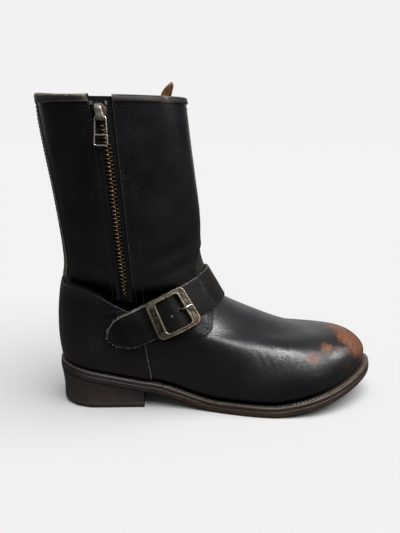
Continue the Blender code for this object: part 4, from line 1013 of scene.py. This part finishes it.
# pull loop: a doubled leather tab inside the inner wall
loop = {"x": 71.5, "half": 7.0, "thick": 1.4, "slide": 8.6,
        "path": ((0.0, -24.0), (0.0, -8.0), (0.2, 3.0), (0.9, 10.0), (0.6, 15.6), (-0.7, 16.4), (-1.8, 15.0),
                 (-2.1, 10.0), (-2.5, 3.0), (-2.4, -8.0), (-2.3, -24.0)),
        "taper": ((-8, 0.75), (0, 0.72), (3, 0.86), (6.5, 0.95), (10, 0.85), (13, 0.62), (15, 0.4),
                  (16.4, 0.22))}
fineLoop = finePath(loop["path"], 70)
scan = np.linspace(1.2 * math.pi, 1.8 * math.pi, 60)
loopTurn = float(np.interp(-loop["x"], -surfaceAt(scan, 1.0)[:, 0], scan))
across = np.linspace(-1, 1, 9)
here, normal, loopAlong, up, _ = frameAt(loopTurn + loop["half"] * across / frameAt(loopTurn, 1.0)[4][0], 1.0)
loopBase = -wall - 1.0 - 3.5 * gap - loop["thick"] / 2
halfThick = loop["thick"] / 2 * np.sqrt(np.clip(1 - 0.5 * np.abs(across) ** 6, 0, 1))
sections = []
for (out, lift), run in zip(fineLoop, unit(np.gradient(fineLoop, axis=0))):
    taper = np.interp(lift, *np.transpose(loop["taper"]))
    slide = across * loop["half"] * (taper - 1) - loop["slide"] * (max(lift, 0.0) / 15) ** 1.9
    back, face = (here + slide[:, None] * loopAlong + (loopBase + out - half * run[1])[:, None] * normal
                  + (lift + half * run[0])[:, None] * up for half in (-halfThick, halfThick))
    sections.append(np.concatenate([back, face[::-1]]))
loopEdge = np.tile(np.abs(across) ** 4, 2 * len(sections))
loftPiece("pullLoop", sections, loopLeather, node="pull_loop", slot="loop_leather", marks={"edge": loopEdge})
print("trim made")

# instep strap and buckle; strap space is s along towards the tail, w across, h above the leather
strap = {"tilt": math.radians(25), "x": 64.3, "z": 95.0, "reach": 24.0, "half": 16.4, "thick": 2.2,
         "clear": 0.5, "tailStart": 37.0, "tailEnd": 63.5, "farEnd": -155.0}
strapForward = np.array([math.cos(strap["tilt"]), 0, math.sin(strap["tilt"])])
strapAcross = np.array([-math.sin(strap["tilt"]), 0, math.cos(strap["tilt"])])
strapOut = np.array([0.0, -1.0, 0.0])
strapMiddle = np.array([strap["x"], 0, strap["z"]])
strapCentre = strapMiddle - strap["reach"] * strapForward
strapAngles = np.radians(np.arange(-150.0, 161.0, 1.25))


def smoothed(values, width):
    return np.convolve(np.pad(values, width // 2, mode="edge"), np.ones(width) / width, mode="valid")


def strapDirection(angles):
    return np.cos(angles)[:, None] * strapForward + np.sin(angles)[:, None] * strapOut


widths = np.linspace(-strap["half"], strap["half"], 13)
hits = np.zeros((len(strapAngles), len(widths)))
for i, direction in enumerate(strapDirection(strapAngles)):
    for k, w in enumerate(widths):
        origin = Vector(strapCentre + w * strapAcross + 260 * direction)
        for tree in (upperTree, shaftTree, counterTree):
            hit = tree.ray_cast(origin, Vector(-direction), 260)
            if hit[0] is not None:
                hits[i, k] = max(hits[i, k], 260 - hit[3])
strapLean = smoothed((hits * widths).sum(axis=1) / (widths**2).sum(), 9)
need = (hits - strapLean[:, None] * widths).max(axis=1)
strapReach = np.maximum(smoothed(np.maximum(smoothed(need, 9), need), 5), need) + strap["clear"]
strapReach = smoothed(strapReach, 3)


def strapRim(angles, w):
    reach = np.interp(angles, strapAngles, strapReach) + w * np.interp(angles, strapAngles, strapLean)
    return strapCentre + w * strapAcross + reach[:, None] * strapDirection(angles)


rimLine = strapRim(strapAngles, 0.0)
strapRun = runOf(rimLine)
outerHalf = strapAngles > 0
strapRun -= np.interp(0, -((rimLine - strapMiddle) @ strapForward)[outerHalf], strapRun[outerHalf])


def strapAt(s, w, h):
    angle = np.interp([s - 0.8, s, s + 0.8], strapRun, strapAngles)
    before, here, after = strapRim(angle, w)
    normal = np.cross(strapAcross, after - before)
    return here + h * unit(normal)


# how far the strap stands off the leather, over the buckle's bar and the chape
liftTable = np.array(((-230, 0), (-24, 0), (-15, 0.3), (-9, 1.9), (-2, 4.2), (2, 4.2), (8, 3.1), (14, 2.2),
                      (45, 2.1), (56, 0.3), (90, 0)))


def strapLift(s):
    return float(np.interp(s, liftTable[:, 0], liftTable[:, 1]))


def strapHalf(s):
    share = min(0.999, max(0.0, (s - strap["tailStart"]) / (strap["tailEnd"] - strap["tailStart"])))
    return strap["half"] * (1 - share**2) ** 0.62


def bandSections(stations, halfOf, lowOf, thick, rubOf):
    # a side is inset, height and rubbing; the top is share of the width and height
    side = [(0.3, 0.0, 0.2), (0.0, 0.35, 0.4), (0.0, thick - 0.55, 0.7), (0.25, thick - 0.15, 1.0),
            (0.9, thick, 0.45), (2.2, thick + 0.03, 0.0)]
    top = [(share, thick + 0.1 * (1 - share**2)) for share in np.linspace(-0.75, 0.75, 9)]
    sections, edge = [], []
    for s in stations:
        half, low = halfOf(s), lowOf(s)
        places = [(-max(half - inset, 0.15 * half), h, mark) for inset, h, mark in side]
        over = [(share * max(half - 2.2, 0.1 * half), h, 0) for share, h in top]
        places += over + [(-w, h, mark) for w, h, mark in places[::-1]]
        sections.append([strapAt(s, w, low + h) for w, h, _ in places])
        edge.extend([mark * rubOf(s) for _, _, mark in places])
    return np.array(sections), np.array(edge)


tailRun = (strap["tailEnd"] - strap["tailStart"]) * np.sin(np.linspace(0, math.pi / 2, 40)[1:])
strapStations = np.concatenate([np.linspace(strap["farEnd"], -26, 110), np.linspace(-25, 36, 62),
                                strap["tailStart"] + tailRun])
sections, edge = bandSections(strapStations, strapHalf, strapLift, strap["thick"],
                              lambda s: float(np.interp(s, (-30, -20, 10, 30), (0.72, 0.85, 0.85, 1.0))))
loftPiece("instepStrap", sections, strapLeather, node="instep_strap", slot="strap_leather",
          marks={"edge": edge})
chape = {"from": -5, "to": 44, "half": 17.0, "thick": 1.6, "rub": 0.68}
sections, edge = bandSections(np.linspace(chape["from"], chape["to"], 50), lambda s: chape["half"],
                              lambda s: 0.0, chape["thick"], lambda s: chape["rub"])
loftPiece("strapChape", sections, strapLeather, node="strap_chape", slot="strap_leather",
          marks={"edge": edge})

buckle = {"halfS": 18.6, "halfW": 18.5, "windowTail": 10.0, "windowFront": -10.9, "windowHalf": 14.8,
          "lift": 6.8, "drop": 1.2, "barR": 0.9}


def ringOutline(sLow, sHigh, halfW, radius, sides, corner=8):
    middle = 0.5 * (sLow + sHigh)
    corners = ((sHigh, halfW), (sLow, halfW), (sLow, -halfW), (sHigh, -halfW))
    centres = [np.array((s - math.copysign(radius, s - middle), w - math.copysign(radius, w)))
               for s, w in corners]
    points = []
    for k in range(4):
        for i in range(corner + 1):
            a = math.pi / 2 * (k + i / corner)
            points.append(centres[k] + radius * np.array((math.cos(a), math.sin(a))))
        a = math.pi / 2 * (k + 1)
        shift = radius * np.array((math.cos(a), math.sin(a)))
        for i in range(1, sides):
            points.append(centres[k] + shift + (centres[(k + 1) % 4] - centres[k]) * i / sides)
    return np.array(points)


frameOutside = ringOutline(-buckle["halfS"], buckle["halfS"], buckle["halfW"], 5.0, 46)
frameInside = ringOutline(buckle["windowFront"], buckle["windowTail"], buckle["windowHalf"], 3.0, 46)
frameShape = [(0.0, 0.0), (0.0, 0.9), (0.0, 1.6), (0.03, 2.0), (0.08, 2.3), (0.14, 2.4), (0.19, 2.35),
              (0.23, 2.1)]
frameShape += [(share, 1.85) for share in np.linspace(0.27, 0.73, 12)]
frameShape += [(1 - share, high) for share, high in frameShape[7::-1]]
sections, patinaAndShade, rust = [], [], []
for (so, wo), (si, wi) in zip(frameOutside, frameInside):
    section = []
    onBar = 0.45 + 0.55 * ramp(abs(wo), 14, 12)
    for share, high in frameShape:
        s, w = so + (si - so) * share, wo + (wi - wo) * share
        sunk = 0.2 < share < 0.8
        if sunk:
            high = 2.35 - (2.35 - high) * onBar
            if so < 0:
                high += 0.16 * onBar * math.sin((s + 0.7 * w) * fullTurn / 1.7)
        section.append(strapAt(s, w, buckle["lift"] - buckle["drop"] * (s / buckle["halfS"]) ** 2 + high))
        patinaAndShade.append((0.5 * onBar if so > 0 else 0.45) if sunk else 0.12)
        rust.append(0.8 * ramp(w, -3, -15) * ramp(s, 6, -6))
    sections.append(section)
loftPiece("buckleFrame", sections, oldNickel, closed=True, node="buckle_frame", slot="old_nickel",
          marks={"patinaAndShade": patinaAndShade, "rust": rust})
rail = strap["half"] + 0.3 + buckle["barR"]
barHigh = chape["thick"] + gap + buckle["barR"]
halfBar = ((rail, 8.2), (rail, 5.0), (rail, barHigh + 1.0), (rail - 1.0, barHigh))
barPath = [strapAt(0.0, w, h) for w, h in (*((-w, h) for w, h in halfBar), (0, barHigh), *halfBar[::-1])]
loftPiece("buckleCentreBar", tubeSections(barPath, buckle["barR"]), oldNickel, slot="old_nickel")
prongPath = finePath(((-2.3, 2.9), (-5.5, 4.0), (-8.4, 6.9), (-9.5, 9.4), (-11.5, 10.5), (-16.6, 10.3)), 30)
prongSize = np.interp(np.linspace(0, 1, 30), (0, 0.5, 0.7, 0.95, 1), (1.0, 1.0, 1.3, 1.2, 0.7))
loftPiece("buckleProng", tubeSections([strapAt(s, 0.0, h) for s, h in prongPath], prongSize), rubbedNickel,
          node="buckle_prong", slot="old_nickel")
hole = {"s": 1.4, "w": -2.4, "radius": 0.8, "rim": 0.34}
holeHigh = strapLift(hole["s"]) + strap["thick"] + 0.02
holeRing = [strapAt(hole["s"] + hole["radius"] * math.cos(a), hole["w"] + hole["radius"] * math.sin(a),
                    holeHigh) for a in circle(20)]
loftPiece("strapHoleRim", tubeSections(holeRing, hole["rim"], 8, True), strapLeather, closed=True,
          slot="strap_leather", marks={"edge": np.full(8 * len(holeRing), 0.75)})
# loose fibres along the cut tail, drawn thicker than the real 0.05 mm so that they show
fibre = {"count": 150, "radius": 0.13, "tip": 0.04, "short": 0.7, "long": 2.6}
fibres = []
for k in range(fibre["count"]):
    s = strap["tailEnd"] - 0.3 - 24 * rng.random() ** 2
    side = 1 if rng.random() < 0.62 else -1
    start = strapAt(s, side * (strapHalf(s) - 0.2), strapLift(s) + 1.2 + 0.8 * rng.random())
    out = strapAt(s + 0.6, side * (strapHalf(s) + 1.0), strapLift(s) + 1.6) - start
    run = unit(unit(out) + 0.7 * rng.standard_normal(3))
    run *= fibre["short"] + (fibre["long"] - fibre["short"]) * rng.random() ** 3
    bend = 0.35 * np.linalg.norm(run) * rng.standard_normal(3)
    path = [start + t * run + t * (1 - t) * bend for t in (0.0, 0.35, 0.7, 1.0)]
    fibres.append(tubeSections(path, (*[fibre["radius"]] * 3, fibre["tip"]), 4))
pieceOf("strapFibres", *joined(fibres), paleThread, slot="strap_leather", repair=False)
print("strap made")

# zip: tapes, single teeth, stops, slider and the wire pull
zipRunV = np.linspace(1.0, zipFootV - 0.06, 120)
zipRun = runOf([surfaceAt(zipTurn(v), v)[0] for v in zipRunV])
zipFoot = float(np.interp(-zipFootV, -zipRunV, zipRun))


def zipAt(along, across, high):
    v = float(np.interp(along, zipRun, zipRunV))
    stretch = frameAt(zipTurn(v), v)[4][0]
    here, normal = frameAt(zipTurn(v) + np.atleast_1d(across) / stretch, v)[:2]
    return here + np.atleast_1d(high)[:, None] * normal


def zipAxes(along):
    across = unit(zipAt(along, 1, 0)[0] - zipAt(along, -1, 0)[0])
    down = unit(zipAt(along + 1, 0, 0)[0] - zipAt(along - 1, 0, 0)[0])
    return zipAt(along, 0, 0)[0], across, down, np.cross(across, -down)


# the teeth stand at about twice the real pitch so that they show
tooth = {"pitch": 3.4, "half": 0.85, "inner": -0.6, "outer": 3.9, "inSlider": 2.9, "low": -2.2, "high": -0.45,
         "first": 14.2, "sliderEnd": 22, "footClear": 4.2}
ringAngles = circle(8) + math.pi / 8
middle = 0.5 * (tooth["low"] + tooth["high"])
teeth, toothPatinaAndShade = [], []
for k, along in enumerate(np.arange(tooth["first"], zipFoot - tooth["footClear"], tooth["pitch"] / 2)):
    origin, across, down, outward = zipAxes(along)
    side = 1 if k % 2 else -1
    outer = tooth["outer"] if along > tooth["sliderEnd"] else tooth["inSlider"]
    rings = ((tooth["inner"], 0.55), (tooth["inner"] + 0.4, 0.95), (outer - 0.4, 0.9), (outer, 0.6))
    teeth.append([[origin + side * reach * across + size * tooth["half"] * math.cos(a) * down
                   + (middle + size * 0.95 * math.sin(a)) * outward for a in ringAngles]
                  for reach, size in rings])
    # darker at the teeth's outer ends, and near the foot with painted shade of the fold
    toothPatinaAndShade.append(np.repeat((0.0, 0.05, 0.5, 0.6), 8) + 0.22 * ramp(along, zipFoot - 34, zipFoot - 8))
pieceOf("zipTeeth", *joined(teeth), antiqueBrass, node="zip_chain", slot="antique_brass",
        marks={"patinaAndShade": np.concatenate(toothPatinaAndShade)}, sharp=60)
for name, node, side in (("zipTapeRear", "zip_tape_rear", -1), ("zipTapeFront", "zip_tape_front", 1)):
    top = -wall - gap
    shape = ((0.02, top), (1.5, top), (6.75, top), (10, top - 0.2), (13.5, top - 0.6), (13.5, top - 1.5),
             (6.75, top - 0.9), (0.02, top - 0.9))
    out, high = np.transpose(shape)
    sections = [zipAt(s, side * out, high) for s in np.linspace(0.3, zipFoot + 5, 60)]
    loftPiece(name, sections, zipTape, node=node, slot="zip_tape")
# slider: arched body with flared shoulders, and the bail that holds the pull
slider = {"shape": ((5.5, 3.5), (7.0, 3.9), (8.8, 6.1), (11.5, 6.1), (14.5, 5.1), (20.0, 3.7)), "clear": 3.2,
          "low": -2.2, "roof": -0.25, "bailHalf": 2.5, "bailFlare": 0.9,
          "bail": ((6.4, 0.6), (6.9, 3.2), (8.6, 4.5), (13.0, 4.65), (17.6, 4.5), (19.2, 3.6), (19.8, 0.6))}
sliderTop, sliderFoot = slider["shape"][0][0], slider["shape"][-1][0]
sections = []
for s in np.concatenate([[sliderTop, sliderTop + 0.2], np.linspace(sliderTop + 0.7, sliderFoot - 0.4, 28),
                         [sliderFoot - 0.15, sliderFoot]]):
    half = float(np.interp(s, *np.transpose(slider["shape"])))
    drop = 0.7 * max(0.0, 1 - min(s - sliderTop, sliderFoot - s) / 0.6) ** 2
    shape = [(half * share, 1.35 - drop - 1.0 * abs(share) ** 5) for share in np.linspace(-1, 1, 15)]
    shape += [(half, slider["low"]), (slider["clear"], slider["low"]), (slider["clear"], slider["roof"]),
              (-slider["clear"], slider["roof"]), (-slider["clear"], slider["low"]), (-half, slider["low"])]
    sections.append(zipAt(s, *np.transpose(shape)))
fineBail = finePath(slider["bail"], 40)
bailShape = [(math.copysign(abs(c) ** 0.5, c), math.copysign(abs(s) ** 0.6, s))
             for c, s in ((math.cos(a), math.sin(a)) for a in circle(16))]
bail = []
for (s, h), (ds, dh) in zip(fineBail, unit(np.gradient(fineBail, axis=0))):
    half = slider["bailHalf"] + slider["bailFlare"] * (s - 6) / 14
    bail.append([zipAt(s - 0.5 * n * dh, half * w, h + 0.5 * n * ds)[0] for w, n in bailShape])
patinaAndShade = np.repeat((0.85, 0.2), (len(sections) * len(shape), len(bail) * len(bailShape)))
pieceOf("zipSlider", *joined((sections, bail)), rubbedNickel, node="zip_slider", slot="old_nickel",
        marks={"patinaAndShade": patinaAndShade})
for name, metal in (("zip_stop_rear", rubbedNickel), ("zip_stop_front", rubbedNickel),
                    ("zip_stop_foot", footStopShadeBrass)):
    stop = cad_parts[name]
    stop.data.materials.clear()
    stop.data.materials.append(metal)
    bevel = stop.modifiers.new("softEdges", "BEVEL")
    bevel.width, bevel.segments = 0.45 * mm, 3
    bevel.limit_method, bevel.angle_limit = "ANGLE", math.radians(35)
wire = {"along": 16.5, "high": 2.6, "radius": 0.7, "sides": 10}
origin, hingeAcross, _, outward = zipAxes(wire["along"])
pivot = origin + wire["high"] * outward
hingeDown = unit(np.array([0, 0, -1.0]) - hingeAcross * -hingeAcross[2])


def wireRing(corners):
    path = roundedOutline(corners, 6)
    path = path[np.linalg.norm(np.roll(path, -1, axis=0) - path, axis=1) > 1e-6]
    path = [pivot + x * hingeAcross + y * hingeDown for x, y in path]
    return tubeSections(path, wire["radius"], wire["sides"], True)


upperWire = wireRing(((-4.5, 0.0, 2.0), (4.5, 0.0, 2.0), (5.1, 14.9, 0.8), (-5.1, 14.9, 0.8)))
lowerWire = wireRing(((-5.15, 14.9, 0.8), (5.15, 14.9, 0.8), (5.6, 23.3, 1.2), (-5.6, 23.3, 1.2)))
pieceOf("zipPullWire", *joined((upperWire, lowerWire), True), rubbedNickel, node="zip_pull",
        slot="old_nickel", body="zip_pull")
print("zip made")

stitchPiece("blackSeams", seamRows, blackThread)
stitchPiece("backCord", cordRows, oliveCord)
weltStitch = (3.6, 3.1, 0.42, 0.0)
weltRow = {"inset": 3.1, "paleFrom": 172}  # the thread is still pale round the toe
weltTurns = np.linspace(split + 0.02, fullTurn - split - 0.02, 500)
weltLine = soleLoop(soleEdge(weltRow["inset"]), weltTurns, weltHigh - 0.1)
upward = np.tile((0.0, 0.0, 1.0), (len(weltLine), 1))
firstToe, lastToe = np.flatnonzero(weltLine[:, 0] > weltRow["paleFrom"])[[0, -1]]
for name, parts, thread in (("weltSeam", (slice(firstToe, lastToe + 1),), paleThread),
                            ("waistSeam", (slice(0, firstToe), slice(lastToe + 1, None)), greyThread)):
    stitchPiece(name, [(weltLine[part], upward[part], *weltStitch) for part in parts], thread)
print("stitches made")

# pale floor, soft studio light and the photograph's camera
floorMesh = bpy.data.meshes.new("floor")
floorReach = 14  # metres, far behind the boot
floorEdge = [(floorReach * math.cos(a), floorReach * math.sin(a), 0.0) for a in circle(64)]
floorMesh.from_pydata(floorEdge, [], [list(range(len(floorEdge)))])
floor = bpy.data.objects.new("floor", floorMesh)
scene.collection.objects.link(floor)
# matt paper floor: pale to the eye, and dim in reflections so that black leather stays black
paper, tree, _ = newSurface("mattPaper")
floorMesh.materials.append(paper)
shader = tree.nodes["Principled BSDF"]
setInputs(tree, shader, {"Base Color": linear("e7e7e7"), "Roughness": 1.0, "Specular IOR Level": 0.0})
seen = addNode(tree, "LightPath", out="Is Camera Ray")
dim = addNode(tree, "BsdfDiffuse", {"Color": linear("5f5f5f")})
both = addNode(tree, "MixShader", {0: seen, 1: dim, 2: shader.outputs[0]})
tree.links.new(both, tree.nodes["Material Output"].inputs["Surface"])


def addLamp(light, place, target, hiddenFrom):
    lamp = bpy.data.objects.new(light.name, light)
    lamp.location = place
    lamp.rotation_euler = (Vector(target) - Vector(place)).to_track_quat("-Z", "Y").to_euler()
    for rays in hiddenFrom:
        setattr(lamp, "visible_" + rays, False)
    scene.collection.objects.link(lamp)


# one wide soft sky lights the paper evenly; the softboxes and the backdrop only give the shine
sky = bpy.data.lights.new("softSky", "SUN")
sky.energy, sky.angle = 3.14, math.radians(66)
addLamp(sky, (0.0, 0.0, 0.0), (-0.3, 0.3, -1.0), ("glossy",))
for name, place, target, (wide, high), radiance in (
        ("overhead", (0.1, 0.0, 2.5), (0.1, 0.0, 0.0), (6.0, 6.0), 0.38),
        ("backdrop", (-0.6, 2.2, 0.8), (-0.2, 0.0, 0.15), (4.6, 2.6), 0.6),
        ("frontStrip", (0.58, -0.80, 0.82), (0.15, 0.0, 0.06), (1.2, 0.13), 50),
        ("rightSide", (1.2, -0.1, 0.62), (0.21, -0.03, 0.05), (0.34, 0.08), 44)):
    light = bpy.data.lights.new(name, "AREA")
    light.shape, light.size, light.size_y = "RECTANGLE", wide, high
    light.energy = radiance * math.pi * wide * high
    addLamp(light, place, target, ("camera", "diffuse"))
scene.world = bpy.data.worlds.new("paleRoom")
scene.world.use_nodes = True
room = scene.world.node_tree
room.nodes.clear()
seen = addNode(room, "LightPath", out="Is Camera Ray")
shine = addNode(room, "Background", {"Color": (1.0, 1.0, 1.0, 1.0), "Strength": 0.2})
shown = addNode(room, "Background", {"Color": linear("f2f2f2"), "Strength": 1.0})
world = room.nodes.new("ShaderNodeOutputWorld")
room.links.new(addNode(room, "MixShader", {0: seen, 1: shine, 2: shown}), world.inputs["Surface"])
shot = {"lens": 42.01, "sensor": 36.0, "place": (0.0805, -0.5713, 0.252), "down": 12.29, "right": 1.0}
camera = bpy.data.objects.new("photoCamera", bpy.data.cameras.new("photoCamera"))
camera.data.lens, camera.data.sensor_width = shot["lens"], shot["sensor"]
camera.location = shot["place"]
camera.rotation_euler = (math.radians(90 - shot["down"]), 0, math.radians(-shot["right"]))
camera.data.clip_start = 0.01
scene.collection.objects.link(camera)
scene.camera = camera
scene.view_settings.view_transform = "Standard"
bpy.context.view_layer.update()
print("stage set")
